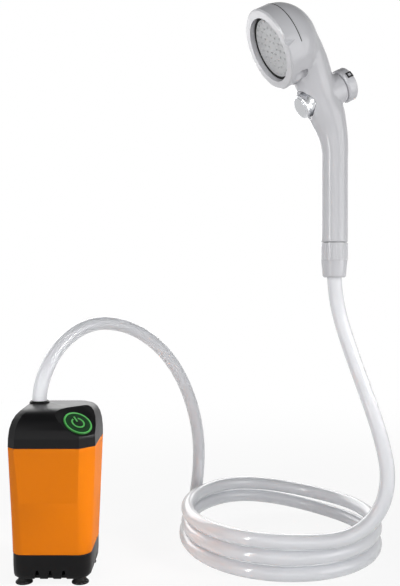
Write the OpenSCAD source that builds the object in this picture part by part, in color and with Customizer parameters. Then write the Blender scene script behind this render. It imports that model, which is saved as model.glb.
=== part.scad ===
// Portable shower set: submersible pump, coiled hose and handset shower head.
// Millimetres, +Z up. The origin is on the floor, midway between the pump's four feet.
// The pump's flat front looks along -Y, and its button is on the corner between +X and -Y.

/* [Pump housing] */
// Width of the body across the flats, at the top of the shell
body_w = 67.5; // [66:0.5:78]
// Width of the body at the foot of the shell
foot_w = 62; // [61:1:68]
// Height of the shell's lower edge above the floor
shell_z = 24; // [22:1:30]
// Height of the shell
shell_h = 83; // [82:1:110]
// Height of the cap above the shell
cap_h = 28; // [27:1:34]
// Leg of the chamfer on the button's corner
front_chamfer = 11; // [9:0.5:13]
// Leg of the chamfers on the other three corners
corner_chamfer = 6; // [4:0.5:8]
// Wall of the housing
wall = 2.2; // [1.8:0.1:2.6]
// How far the cap's left and right sides lean in at the top
cap_lean_side = 12; // [8:0.5:13]
// How far the cap's front leans in at the top
cap_lean_front = 24; // [16:0.5:25]
// How far the cap's back leans in at the top
cap_lean_back = 7; // [4:0.5:9]
// Fullness of the cap's arch, 1 for an ellipse and more for a squarer shoulder
cap_fullness = 1.35; // [1.2:0.05:1.5]

/* [Base] */
// Height of the base's underside above the floor
base_z = 5; // [4.5:0.5:8]
// Thickness of the base's floor
floor_t = 2.5; // [2:0.1:3]
// Diameter of a suction foot
foot_d = 13.5; // [11:0.5:15]
// Distance of the feet from the middle planes of the pump
foot_at = 22; // [20:0.5:23]
// Number of intake slots on each side
slots = 3; // [1:1:4]
// Distance between intake slots
slot_pitch = 10.3; // [9:0.1:11]
// Height of an intake slot
slot_h = 7; // [4:0.5:8]

/* [Power button] */
// How much nearer the pump's axis than its flats the button's centre is
button_in = 5.7; // [4:0.1:7]
// Drop of the button's centre below the cap's top
button_drop = 10.4; // [9.5:0.1:11.5]
// Tilt of the facet that carries the button, from level
facet_tilt = 36; // [34:1:38]
// Diameter of the button
button_d = 20.5; // [16:0.5:21]
// Outer diameter of the ring light
light_d = 23.5; // [23.5:0.1:25]
// Travel of the button
button_travel = 1.2; // [0.6:0.1:1.3]

/* [Motor, pump and cells] */
// Width of the foot that the pump chamber leaves free
chamber_room = 18; // [16:1:20]
// Width of the chamber that the impeller leaves free
impeller_room = 10; // [9:0.5:14]
// Number of impeller vanes
vanes = 6; // [4:1:8]
// Width of the foot that the motor leaves free
motor_room = 34; // [32:1:38]
// Length of the motor can
motor_l = 38; // [30:1:44]
// Diameter of the shaft
shaft_d = 3; // [2:0.5:4]
// Diameter of a battery cell
cell_d = 18.4; // [14:0.2:18.6]
// Height of the shell that the cells leave free
cell_room = 18; // [18:1:30]

/* [Hose] */
// Outer diameter of the hose
hose_d = 12; // [10:0.5:12]
// Inner diameter of the hose
hose_bore = 8; // [6:0.5:8]
// Gap left between a turn of the coil and the turn above it
turn_gap = 0.6; // [0.6:0.1:2]
// Height of the arch over the pump's cap
arch_rise = 63.5; // [52:0.5:80]
// How far the hose swings out to the right of the handset
riser_out = 37.5; // [30:0.5:45]
// How far the hose comes forward of the handset
riser_fore = 37; // [34:0.5:40]

/* [Handset] */
// Diameter of the grip
grip_d = 22.4; // [21:0.2:25]
// Length of the straight grip above the nut
grip_h = 66; // [50:1:90]
// Radius of the bend between grip and neck
bend_r = 85; // [70:1:110]
// Angle between grip and neck
neck_angle = 27; // [20:1:30]
// Depth of the neck, front to back
neck_depth = 30.8; // [28:0.1:33]
// Width of the neck, side to side
neck_width = 27; // [26:0.5:32]
// Diameter of the head
head_d = 67; // [64:1:74]
// Distance of the head's centre along the neck from the bend
head_s = 67.4; // [63:0.1:80]
// Distance of the spray face in front of the neck's axis
face_n = 21.5; // [19:0.1:24]
// Depth of the face ring
ring_h = 13; // [11:0.5:15]
// Width of the face ring's rim
rim_w = 7; // [5:0.5:8]
// How far the spray plate is set back in the ring
plate_set = 4.6; // [3:0.1:5]
// Depth of the domed back of the head
bowl_depth = 28.3; // [25:0.1:31]
// Distance of the push button along the neck from the bend
cross_s = 15; // [14:0.5:16]
// Distance of the flow knob along the neck from the bend
knob_s = 15.4; // [14:0.2:18]
// Diameter of the push button on the neck
push_d = 20.4; // [16:0.2:21]
// Travel of the push button
push_travel = 3; // [1.5:0.1:3]
// Diameter of the flow knob
knob_d = 28.2; // [25:0.2:30]
// Length of the flow knob
knob_l = 8.6; // [8:0.2:14]
// Height of the hose nut
nut_h = 29; // [27:1:36]
// Diameter of the hose nut at its lower end
nut_end_d = 19.2; // [18:0.2:20]

/* [Fits] */
// Radial clearance of a running shaft
run_clear = 0.05; // [0.03:0.01:0.1]
// Radial clearance of a piece that is set into another
fit_clear = 0.2; // [0.1:0.05:0.3]
// Gap between pieces that move past each other
move_gap = 0.3; // [0.2:0.05:0.4]

/* [Hidden] */
$fn = 64;

// Colours as the photograph shows them
orange = [0.88, 0.45, 0.05];
black = [0.11, 0.11, 0.12];
green = [0.25, 0.85, 0.35];
white = [0.93, 0.93, 0.94];
milky = [0.82, 0.83, 0.85];
steel = [0.72, 0.73, 0.75];
rubber = [0.07, 0.07, 0.07];
brass = [0.78, 0.62, 0.30];

// Overlap that a cut runs past a face
cut = 1;

// Levels of the pump
shell_top = shell_z + shell_h;
cap_top = shell_top + cap_h;
floor_top = base_z + floor_t;
cell_l = shell_h - cell_room;
spigot_up = 6.5;
spigot_wall = 1.6;
cap_ledge = 2;
seal_t = 1.5;
plate_t = 2;
base_spigot_top = shell_z + spigot_up;
low_plate_z = base_spigot_top + seal_t;
cells_z = low_plate_z + plate_t;
high_plate_z = cells_z + cell_l;
high_plate_top = high_plate_z + plate_t;
cap_spigot_z = high_plate_top + seal_t;
pillar_h = 2;
board_z = high_plate_top + pillar_h;
board_t = 1.6;
board_top = board_z + board_t;
board_room = 10;
board_half = body_w / 2 - board_room;
lid_t = 2.5;
lid_z = floor_top + 3.5;
chamber_z = lid_z + lid_t;
chamber_roof = 4;
flange_t = 2.5;
flange_r = foot_w / 2 - wall - 2;
chamber_top = low_plate_z;
chamber_d = foot_w - chamber_room;
chamber_wall = 3.5;
pump_cavity_r = chamber_d / 2 - chamber_wall;
impeller_d = chamber_d - impeller_room;
motor_d = foot_w - motor_room;
motor_z = chamber_top;
motor_top = motor_z + motor_l;
bell_t = 3.5;
bush_h = 4;
bush_d = 8;
screw_in = 3.5;
screw_r = flange_r - screw_in;
slot_skin = 1.8;
slot_low = 2.4;
slot_high = 0.8;
slot_in = foot_w / 2 - wall - slot_skin;

// Outlet: a vertical fitting on the corner opposite the button
outlet_at = [-17.4, 15];
outlet_seat = cap_top - 4;
spigot_h = 6;
spigot_barb = 12;
pipe_d = 9;
pipe_bore = 7;
collar_d = 16.4;
collar_h = 1.8;
collar_skirt = 3;
collar_edge = 1;
hose_hole = hose_d + 2 * fit_clear;

// Facet frame: its origin is the button's centre, its z axis leaves the facet squarely
button_reach = body_w / 2 - button_in;
facet_c = [button_reach / sqrt(2), -button_reach / sqrt(2), cap_top - button_drop];
light_depth = 3;
well_depth = 5;
well_floor = 1.6;
button_t = 3.6;
button_proud = 0.2;
stem_d = 5;
stem_l = 4;
switch_gap = 0.3;
switch_t = 1.6;
switch_w = 6;
stem_end = -button_t - stem_l;
switch_top = stem_end - button_travel - switch_gap;
gasket_t = 1;
gasket_w = 3;
symbol_r = 5.6;
symbol_line = 1.2;
symbol_sink = 0.4;
symbol_gap = 28;
dish_d = 33;
dish_depth = 0.8;
dish_flat = 1;
dish_slope = (dish_d / 2 - light_d / 2 - dish_flat) / dish_depth;

// Charge port on the cap's back
port_z = shell_top + 7.6;
pocket_half = 8;
pocket_low = shell_top + 1.4;
pocket_high = shell_top + 12;
pocket_y = body_w / 2 - 2.7;
socket_w = 9;
socket_t = 3.2;
socket_y = board_half - 2.5;
hinge_z = pocket_low + 1.8;
hinge_y = pocket_y + 1.4;
pin_d = 1.2;
barrel_d = 2.4;
cover_t = 2;

// Cells stand in the two corners beside the diagonal from button to outlet
cell_gap = 0.3;
cell_at = foot_w / 2 - wall - cell_d / 2 - cell_gap;

// Hose coil: angle 270 is nearest the front, and the hose climbs a layer at the back
hose_r = hose_d / 2;
hose_sides = 10;
coil_sides = 6;
loop_rings = 24;
coil_c = [188.4, 74.5];
coil_r = 84;
coil_first_out = 4;
coil_first_turn = 40;
coil_depth_r = 96.5;
coil_from = 165;
coil_to = 990;
climb_from = 400;
climb_turn = 90;
layer_h = hose_d + turn_gap;
spring_lift = 3;
lift_from = 650;
lift_turn = 180;
end_step = 2;
nut_lead = 4;

// Handset: where it is held, and which way its head looks
handset_at = [227.5, 15];
nut_bottom_z = 239;
seam_z = nut_bottom_z + nut_h;
handset_turn = 197;
seam_gap = 0.4;
thread_r = 9;
tail_h = 14;
washer_t = 2;
washer_bore_r = 5.6;
insert_t = 2.2;
thrust_gap = 0.1;
shoulder_z = -tail_h - washer_t - thrust_gap - insert_t - move_gap;
insert_low = shoulder_z + move_gap;
barb_l = 18;
barb_wall = 1.2;
tail_up = 12;
tail_up_r = 6.5;
water_r = 4.5;

// Head and cross axis of the handset, along the spray direction
seam_n = face_n - ring_h;
plate_t_spray = 1.2;
plate_front = face_n - plate_set;
plate_back = plate_front - plate_t_spray;
plate_r = head_d / 2 - rim_w + 2.5;
ring_inner_r = plate_r + fit_clear;
rim_r = head_d / 2 - rim_w;
disc_t = 1.5;
disc_r = rim_r - 0.5;
bowl_cavity_r = disc_r - 1.6;
neck_shift = -2.9;
push_face = 16.5;
push_t = 9.5;
push_back = push_face - push_t;
push_floor = push_back - push_travel - 0.5;
push_hole_r = push_d / 2 + move_gap;
spool_r = 3.5;
spool_end = -7;
spring_pocket_r = 7;
spring_pocket_n = -2.5;
spring_r = 5.4;
wire_r = 0.5;
spring_turns = 4;
knob_boss_n = -23.7;
knob_boss_r = knob_d / 2 - 1.4;
knob_n = knob_boss_n - move_gap;
knob_end = knob_n - knob_l;
spindle_r = 3;
spindle_in = -13;
spindle_out = knob_n - knob_l * 0.7;
screw_head_r = 2.8;
screw_shank_r = 1.2;
screw_head_t = 1.6;

// Vectors and tubes

function unit(v) = v / norm(v);

// Direction of a path at each of its points
function headings(p) = [
    for (i = [0 : len(p) - 1]) unit(p[min(i + 1, len(p) - 1)] - p[max(i - 1, 0)])
];

// Side vector carried along a path without twist
function carried(t, n, i = 0) =
    i == len(t) ? [] :
    let (m = unit(n - (n * t[i]) * t[i]))
    concat([m], carried(t, m, i + 1));

// Rings of a round tube along a path
function tube_rings(p, r, sides, start) =
    let (t = headings(p), n = carried(t, start))
    [for (i = [0 : len(p) - 1])
        [for (k = [0 : sides - 1])
            let (a = 360 * k / sides)
            p[i] + r * (cos(a) * n[i] + sin(a) * cross(t[i], n[i]))]];

// Middle of a ring
function middle(ring) = [for (k = [1 : len(ring)]) 1 / len(ring)] * ring;

// Skin over rings that have the same number of points, wound to the left about the path
module loft(rings) {
    n = len(rings[0]);
    last = len(rings) - 1;
    low = n * (last + 1);
    polyhedron(
        points = concat([for (r = rings) each r], [middle(rings[0]), middle(rings[last])]),
        faces = concat(
            [for (k = [0 : n - 1]) [low, k, (k + 1) % n]],
            [for (i = [0 : last - 1], k = [0 : n - 1])
                [i * n + k, (i + 1) * n + k, (i + 1) * n + (k + 1) % n]],
            [for (i = [0 : last - 1], k = [0 : n - 1])
                [i * n + k, (i + 1) * n + (k + 1) % n, i * n + (k + 1) % n]],
            [for (k = [0 : n - 1]) [low + 1, last * n + (k + 1) % n, last * n + k]]),
        convexity = 10);
}

// Pump outline: a square whose corners go from a chamfer (0) to a round (1)

corner_steps = 3;

function corner(c, leg, from, soft) = [
    for (k = [0 : corner_steps])
        let (u = k / corner_steps, a = from + 90 * u)
        c + leg * ((1 - soft) * ((1 - u) * [cos(from), sin(from)] + u * [-sin(from), cos(from)])
            + soft * [cos(a), sin(a)])
];

function outline(hx, hy, front, other, soft, z, back = 0) = [
    for (p = concat(
        corner([hx - front, front - hy], front, -90, soft),
        corner([hx - other, hy - other], other, 0, soft),
        corner([other - hx, hy - other], other, 90, soft),
        corner([other - hx, other - hy], other, 180, soft)))
    [p[0], p[1] + back, z]
];

// Leg of a chamfer after its walls move in by t
function leg_in(leg, t) = max(leg - 0.586 * t, 0.5);

// Half width of the shell at a height
function shell_half(z) = (foot_w + (body_w - foot_w) * (z - shell_z) / shell_h) / 2;

// How far the corners have gone from chamfer to round at a height of the shell
function shell_soft(z) = min(max((shell_top - z) / shell_h, 0), 1);

// Outline of the shell moved in by t, at a height
function shell_ring(z, t) = outline(
    shell_half(z) - t, shell_half(z) - t,
    leg_in(front_chamfer, t), leg_in(corner_chamfer + 4 * shell_soft(z), t), shell_soft(z), z);

// Outline of the cap moved in by t, at an angle of its arch from upright (0) to level (90)
function cap_ring(a, t) =
    let (lean = pow(1 - cos(a), cap_fullness))
    outline(
        body_w / 2 - cap_lean_side * lean - t,
        body_w / 2 - (cap_lean_front + cap_lean_back) / 2 * lean - t,
        leg_in(front_chamfer, t), leg_in(corner_chamfer, t), 0,
        shell_top + (cap_h - t) * sin(a), (cap_lean_front - cap_lean_back) / 2 * lean);

arch_angles = [0, 15, 30, 45, 58, 70, 80, 90];

module cap_form(t) {
    loft([for (a = arch_angles) cap_ring(a, t)]);
}

module on_facet() {
    translate(facet_c) rotate([0, facet_tilt, -45]) children();
}

// Everything beyond the facet, or beyond a plane at a depth below it
module past_facet(depth) {
    on_facet() translate([-body_w, -body_w, -depth]) cube([2 * body_w, 2 * body_w, body_w]);
}

module at_outlet(z) {
    translate([outlet_at[0], outlet_at[1], z]) children();
}

// Pump pieces

module main_shell() {
    levels = [0, 0.25, 0.5, 0.75, 1];
    color(orange) difference() {
        loft([for (u = levels) shell_ring(shell_z + u * shell_h, 0)]);
        loft([for (u = [-0.02, 0.25, 0.5, 0.75, 1.02]) shell_ring(shell_z + u * shell_h, wall)]);
    }
}

// What stands inside the cap: the ledge over the spigot, the button's well, the outlet and port bosses
module cap_inside() {
    translate([-body_w, -body_w, 0]) cube([2 * body_w, 2 * body_w, shell_top + cap_ledge]);
    on_facet() translate([0, 0, -well_depth - well_floor])
        cylinder(h = body_w, d = light_d + 2 * wall);
    at_outlet(outlet_seat - spigot_h) cylinder(h = cap_h, d = hose_hole + 2 * wall);
    translate([-pocket_half - wall, pocket_y - wall, 0])
        cube([2 * (pocket_half + wall), body_w, pocket_high + wall]);
}

module cap_cuts() {
    past_facet(0);
    on_facet() translate([0, 0, -dish_depth])
        cylinder(
            h = dish_depth + cut, r1 = light_d / 2 + dish_flat,
            r2 = light_d / 2 + dish_flat + dish_slope * (dish_depth + cut));
    on_facet() translate([0, 0, -light_depth])
        cylinder(h = light_depth + cut, d = light_d + 2 * fit_clear);
    on_facet() translate([0, 0, -well_depth])
        cylinder(h = well_depth + cut, d = button_d + 2 * move_gap);
    on_facet() translate([0, 0, -well_depth - well_floor - cut])
        cylinder(h = well_floor + 2 * cut, d = stem_d + 2 * move_gap);
    at_outlet(outlet_seat - spigot_h - cut) cylinder(h = cap_h, d = hose_hole);
    translate([-pocket_half, pocket_y, pocket_low])
        cube([2 * pocket_half, body_w / 2, pocket_high - pocket_low]);
    translate([-socket_w / 2 - fit_clear, pocket_y - wall - cut, port_z - socket_t / 2 - fit_clear])
        cube([socket_w + 2 * fit_clear, wall + 2 * cut, socket_t + 2 * fit_clear]);
    translate([-pocket_half - wall / 2, hinge_y, hinge_z]) rotate([0, 90, 0])
        cylinder(h = 2 * pocket_half + wall, d = pin_d);
}

module top_cap() {
    spigot = [cap_spigot_z, shell_top + cap_ledge / 2];
    throat = [cap_spigot_z - cut, shell_top + cap_ledge + cut];
    color(black) difference() {
        union() {
            cap_form(0);
            loft([for (z = spigot) shell_ring(z, wall + fit_clear)]);
        }
        difference() {
            cap_form(wall);
            past_facet(wall);
            cap_inside();
        }
        loft([for (z = throat) shell_ring(z, wall + fit_clear + spigot_wall)]);
        cap_cuts();
    }
}

module cap_seal() {
    levels = [high_plate_top, cap_spigot_z];
    color(rubber) difference() {
        loft([for (z = levels) shell_ring(z, wall + fit_clear)]);
        loft([for (z = levels + [-cut, cut]) shell_ring(z, wall + fit_clear + spigot_wall)]);
    }
}

// Power sign: an open ring with a bar in its gap, the bar pointing up the facet
module power_sign(h) {
    difference() {
        cylinder(h = h, r = symbol_r);
        translate([0, 0, -cut]) cylinder(h = h + 2 * cut, r = symbol_r - symbol_line);
        translate([0, 0, -cut]) linear_extrude(h + 2 * cut)
            polygon([[0, 0], for (a = [-1, 1]) 2 * symbol_r * [-cos(symbol_gap), a * sin(symbol_gap)]]);
    }
    translate([-symbol_r - symbol_line, -symbol_line / 2, 0])
        cube([symbol_r, symbol_line, h]);
}

module power_button() {
    color(black) on_facet() difference() {
        union() {
            translate([0, 0, -button_t]) cylinder(h = button_t + button_proud, d = button_d);
            translate([0, 0, stem_end]) cylinder(h = stem_l + cut, d = stem_d);
        }
        translate([0, 0, button_proud - symbol_sink]) power_sign(symbol_sink + cut);
    }
}

module power_symbol() {
    color(green) on_facet() translate([0, 0, button_proud - symbol_sink]) power_sign(symbol_sink + 0.1);
}

module button_light() {
    color(green) on_facet() translate([0, 0, -light_depth]) difference() {
        cylinder(h = light_depth + button_proud, d = light_d);
        translate([0, 0, -cut]) cylinder(h = light_depth + 2 * cut, d = button_d + 2 * move_gap);
    }
}

module button_gasket() {
    color(rubber) on_facet() translate([0, 0, -well_depth - well_floor - gasket_t]) difference() {
        cylinder(h = gasket_t, d = stem_d + 2 * gasket_w);
        translate([0, 0, -cut]) cylinder(h = gasket_t + 2 * cut, d = stem_d + 2 * run_clear);
    }
}

module push_switch() {
    color(steel) on_facet() translate([0, 0, switch_top - switch_t]) {
        translate([-switch_w / 2, -switch_w / 2, 0]) cube([switch_w, switch_w, switch_t - 0.6]);
        cylinder(h = switch_t, d = 3);
    }
}

// Wedge that holds the switch square to the button
module switch_bracket() {
    half = switch_w / 2 + 1;
    depth = switch_t - switch_top;
    r = button_reach - depth * sin(facet_tilt);
    z = cap_top - button_drop - depth * cos(facet_tilt);
    rise = half * tan(facet_tilt);
    color(black) rotate([0, 0, -45]) translate([0, half, 0]) rotate([90, 0, 0]) linear_extrude(2 * half)
        polygon([[r - half, board_top], [r + half, board_top], [r + half, z - rise], [r - half, z + rise]]);
}

module control_board() {
    chip = [9, 9, 1.4];
    color([0.05, 0.30, 0.16]) difference() {
        union() {
            translate([-board_half, -board_half, board_z]) cube([2 * board_half, 2 * board_half, board_t]);
            translate([-4, -10, board_top]) cube(chip);
            translate([10, 2, board_top]) cube(chip);
            translate([-16, -14, board_top]) cylinder(h = 5, d = 6);
        }
        at_outlet(board_z - cut) cylinder(h = board_t + 2 * cut, d = pipe_d + 2 * fit_clear);
    }
}

module charge_socket() {
    color(steel) {
        difference() {
            translate([-socket_w / 2, socket_y, port_z - socket_t / 2])
                cube([socket_w, pocket_y - fit_clear - socket_y, socket_t]);
            translate([-socket_w / 2 + 0.4, socket_y + 1, port_z - socket_t / 2 + 0.4])
                cube([socket_w - 0.8, pocket_y, socket_t - 0.8]);
        }
        for (x = [-socket_w / 2, socket_w / 2 - 1])
            translate([x, socket_y, board_top]) cube([1, 2, port_z - socket_t / 2 - board_top]);
    }
}

module port_cover() {
    half = pocket_half - move_gap;
    low = hinge_z + barrel_d / 2 - 0.4;
    color(rubber) difference() {
        union() {
            translate([-half, pocket_y + move_gap, low])
                cube([2 * half, cover_t, pocket_high - move_gap - low]);
            translate([-half, hinge_y, hinge_z]) rotate([0, 90, 0]) cylinder(h = 2 * half, d = barrel_d);
            translate([-half, hinge_y - 0.6, hinge_z]) cube([2 * half, 1.2, barrel_d]);
        }
        translate([-pocket_half, hinge_y, hinge_z]) rotate([0, 90, 0])
            cylinder(h = 2 * pocket_half, d = pin_d + 2 * run_clear);
    }
}

module port_pin() {
    color(steel) translate([-pocket_half - wall / 2, hinge_y, hinge_z]) rotate([0, 90, 0])
        cylinder(h = 2 * pocket_half + wall, d = pin_d);
}

module outlet_collar() {
    color(black) difference() {
        at_outlet(cap_top) rotate_extrude() polygon([
            [0, -collar_skirt], [collar_d / 2, -collar_skirt], [collar_d / 2, collar_h - collar_edge],
            [collar_d / 2 - collar_edge, collar_h], [0, collar_h]]);
        cap_form(0);
        at_outlet(cap_top - collar_skirt - cut) cylinder(h = cap_h, d = hose_hole);
    }
}

module outlet_spigot() {
    tail_l = 5;
    color(black) at_outlet(outlet_seat) difference() {
        union() {
            translate([0, 0, -spigot_h]) cylinder(h = spigot_h, d = hose_hole - 2 * fit_clear);
            cylinder(h = spigot_barb, d = hose_bore);
            translate([0, 0, -spigot_h - tail_l]) cylinder(h = tail_l + cut, d = pipe_bore);
        }
        translate([0, 0, -spigot_h - tail_l - cut])
            cylinder(h = spigot_h + tail_l + spigot_barb + 2 * cut, d = pipe_bore - 2 * barb_wall);
    }
}

module riser_pipe() {
    color(milky) at_outlet(chamber_top) difference() {
        cylinder(h = outlet_seat - spigot_h - chamber_top, d = pipe_d);
        translate([0, 0, -cut]) cylinder(h = cap_top, d = pipe_bore);
    }
}

module frame_plate(z) {
    loft([for (h = [z, z + plate_t]) shell_ring(h, wall + fit_clear)]);
}

module inner_frame() {
    post = 5;
    post_gap = 3.5;
    post_at = motor_d / 2 + post_gap + post / 2;
    color([0.25, 0.25, 0.27]) difference() {
        union() {
            frame_plate(low_plate_z);
            frame_plate(high_plate_z);
            for (s = [[1, 0], [-1, 0], [0, 1], [0, -1]])
                translate([s[0] * post_at - post / 2, s[1] * post_at - post / 2, low_plate_z])
                    cube([post, post, board_z - low_plate_z]);
        }
        translate([0, 0, low_plate_z - cut])
            cylinder(h = plate_t + 2 * cut, d = motor_d + 2 * fit_clear);
        translate([0, 0, high_plate_z - cut]) cylinder(h = plate_t + 2 * cut, d = motor_d - 8);
        at_outlet(low_plate_z - cut)
            cylinder(h = board_z - low_plate_z + 2 * cut, d = pipe_d + 2 * fit_clear);
    }
}

module battery_cells() {
    color([0.20, 0.35, 0.62]) for (s = [-1, 1])
        translate([s * cell_at, s * cell_at, cells_z]) cylinder(h = cell_l, d = cell_d);
}

module motor_can() {
    color(steel) difference() {
        translate([0, 0, motor_z]) cylinder(h = motor_l, d = motor_d);
        translate([0, 0, motor_z - cut]) cylinder(h = motor_l + 2 * cut, d = shaft_d + 2);
    }
}

module motor_bell() {
    color(black) difference() {
        translate([0, 0, motor_top]) cylinder(h = bell_t, d = motor_d);
        translate([0, 0, motor_top - cut]) cylinder(h = bell_t + 2 * cut, d = bush_d);
    }
}

module shaft_bush() {
    color(brass) difference() {
        translate([0, 0, motor_top]) cylinder(h = bush_h, d = bush_d);
        translate([0, 0, motor_top - cut]) cylinder(h = bush_h + 2 * cut, d = shaft_d + 2 * run_clear);
    }
}

eye_gap = 2;
roof_gap = 1;
impeller_z = chamber_z + eye_gap;
impeller_top = chamber_top - chamber_roof - roof_gap;
hub_r = 5;
hub_in = 1;
back_t = 1.5;
vane_t = 1.5;

module rotor_shaft() {
    shaft_end = motor_top + bush_h + roof_gap;
    color(steel) translate([0, 0, impeller_z]) cylinder(h = shaft_end - impeller_z, d = shaft_d);
}

module impeller() {
    color(white) difference() {
        union() {
            translate([0, 0, impeller_z]) cylinder(h = impeller_top - impeller_z, r = hub_r);
            translate([0, 0, impeller_top - back_t]) cylinder(h = back_t, d = impeller_d);
            intersection() {
                translate([0, 0, impeller_z]) cylinder(h = impeller_top - impeller_z, d = impeller_d);
                for (k = [0 : vanes - 1]) rotate([0, 0, 360 * k / vanes])
                    translate([hub_r - hub_in, -vane_t / 2, impeller_z])
                        cube([impeller_d, vane_t, impeller_top - impeller_z]);
            }
        }
        translate([0, 0, impeller_z - cut]) cylinder(h = cap_h, d = shaft_d);
    }
}

seal_d = 10;

module shaft_seal() {
    color(rubber) translate([0, 0, chamber_top - chamber_roof]) difference() {
        cylinder(h = chamber_roof - 1, d = seal_d);
        translate([0, 0, -cut]) cylinder(h = chamber_roof + cut, d = shaft_d + 2 * run_clear);
    }
}

module screw_places() {
    for (k = [0 : 3]) rotate([0, 0, 90 * k]) translate([screw_r, 0, 0]) children();
}

screw_d = 3;
way_up = 5;
way_in = 1.6;

module pump_chamber() {
    way_z = chamber_z + way_up;
    color([0.30, 0.30, 0.32]) difference() {
        union() {
            translate([0, 0, chamber_z]) cylinder(h = chamber_top - chamber_z, d = chamber_d);
            translate([0, 0, chamber_z]) cylinder(h = flange_t, r = flange_r);
            at_outlet(chamber_z) cylinder(h = chamber_top - chamber_z, d = pipe_d + 2 * wall);
        }
        translate([0, 0, chamber_z - cut])
            cylinder(h = chamber_top - chamber_roof - chamber_z + cut, r = pump_cavity_r);
        translate([0, 0, chamber_top - chamber_roof - cut])
            cylinder(h = chamber_roof - 1 + cut, d = seal_d);
        translate([0, 0, chamber_top - chamber_roof]) cylinder(h = chamber_roof + cut, d = shaft_d + 2);
        at_outlet(way_z) cylinder(h = chamber_top, d = pipe_bore);
        translate([0, 0, way_z + pipe_bore / 2])
            rotate([0, 90, atan2(outlet_at[1], outlet_at[0])])
                cylinder(h = norm(outlet_at), d = pipe_bore - way_in);
        screw_places() translate([0, 0, chamber_z - cut]) cylinder(h = flange_t + 2 * cut, d = screw_d);
    }
}

module chamber_lid() {
    color([0.36, 0.36, 0.38]) difference() {
        translate([0, 0, lid_z]) cylinder(h = lid_t, r = flange_r);
        translate([0, 0, lid_z - cut]) cylinder(h = lid_t + 2 * cut, r = 6);
        screw_places() translate([0, 0, lid_z - cut]) cylinder(h = lid_t + 2 * cut, d = screw_d);
    }
}

module intake_filter() {
    color([0.18, 0.18, 0.18]) translate([0, 0, floor_top]) cylinder(h = lid_z - floor_top - 0.2, r = 14);
}

function base_ring(z, inset, t) = outline(
    foot_w / 2 - inset - t, foot_w / 2 - inset - t,
    leg_in(front_chamfer, t), leg_in(corner_chamfer + 4, t), 1, z);

module base_cover() {
    edge = [[0, 2], [0.06, 1], [0.18, 0.4], [0.45, 0.1], [1, 0]];
    height = shell_z - base_z;
    spigot = [shell_z, base_spigot_top];
    stud_d = 6 + 2 * fit_clear;
    boss_d = 6.4;
    color(black) difference() {
        union() {
            difference() {
                loft([for (e = edge) base_ring(base_z + e[0] * height, e[1], 0)]);
                loft([for (z = [floor_top, shell_z + cut]) base_ring(z, 0.8, wall)]);
            }
            difference() {
                loft([for (z = spigot - [wall, 0]) shell_ring(z, wall + fit_clear)]);
                loft([for (z = spigot + [-wall - cut, cut]) shell_ring(z, wall + fit_clear + spigot_wall)]);
            }
            screw_places() translate([0, 0, base_z + 1]) cylinder(h = lid_z - base_z - 1, d = boss_d);
        }
        for (side = [0 : 3], k = [0 : slots - 1])
            rotate([0, 0, 90 * side])
                translate([(k - (slots - 1) / 2) * slot_pitch, -slot_in, base_z]) rotate([90, 0, 0])
                    linear_extrude(foot_w) polygon([
                        [-slot_low, -cut], [slot_low, -cut], [slot_high, slot_h], [-slot_high, slot_h]]);
        for (x = [-1, 1], y = [-1, 1]) translate([x * foot_at, y * foot_at, base_z - cut])
            cylinder(h = floor_t + 2 * cut, d = stud_d);
        screw_places() translate([0, 0, base_z - cut]) {
            cylinder(h = lid_z, d = screw_d);
            cylinder(h = cut + 2, d = 2 * screw_d);
        }
    }
}

module base_seal() {
    levels = [base_spigot_top, low_plate_z];
    color(rubber) difference() {
        loft([for (z = levels) shell_ring(z, wall + fit_clear)]);
        loft([for (z = levels + [-cut, cut]) shell_ring(z, wall + fit_clear + spigot_wall)]);
    }
}

module base_screws() {
    color(steel) screw_places() {
        translate([0, 0, base_z + 2 - 1.6]) difference() {
            cylinder(h = 1.6, d = 2 * screw_d - 2 * fit_clear);
            translate([-screw_d, -0.4, -cut]) cube([2 * screw_d, 0.8, cut + 0.7]);
        }
        translate([0, 0, base_z + 2]) cylinder(h = chamber_z + flange_t - base_z - 2, d = screw_d);
    }
}

module suction_feet() {
    rim = foot_d / 2;
    color(rubber) for (x = [-1, 1], y = [-1, 1]) translate([x * foot_at, y * foot_at, 0])
        rotate_extrude() polygon([
            [0, 0.35 * base_z], [rim - 3, 0.24 * base_z], [rim - 1.3, 0], [rim, 0],
            [rim, 0.2 * base_z], [rim - 1.6, 0.5 * base_z], [4.4, 0.75 * base_z], [4.4, base_z],
            [3, base_z], [3, floor_top], [4, floor_top],
            [3.4, floor_top + 2], [0, floor_top + 2]]);
}

// Hose

// Place on the coil's centre line at an angle
function coil_point(a) =
    let (
        first = max(1 - (a - coil_from) / coil_first_turn, 0),
        r = coil_r + coil_first_out * first * first,
        turns = max(a - climb_from, 0) / 360,
        rise = min((turns - floor(turns)) * 360 / climb_turn, 1),
        layer = (a > climb_from ? floor(turns) + (1 - cos(180 * rise)) / 2 : 0),
        lift_share = min(max((a - lift_from) / lift_turn, 0), 1),
        lift = spring_lift * (1 - cos(360 * lift_share)) / 2)
    [coil_c[0] + r * cos(a), coil_c[1] + coil_depth_r * sin(a), hose_r + layer * layer_h + lift];

coil_start_way = unit(coil_point(coil_from + 1) - coil_point(coil_from));
coil_end_way = unit(coil_point(coil_to) - coil_point(coil_to - 1));
coil_start = coil_point(coil_from) - hose_d * coil_start_way;
coil_end = coil_point(coil_to) + hose_d * coil_end_way;
coil_step = 360 / loop_rings;
coil_path = concat(
    [coil_start],
    [for (a = [coil_from : coil_step : coil_to - 1]) coil_point(a)],
    [coil_point(coil_to), coil_end]);

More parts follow.
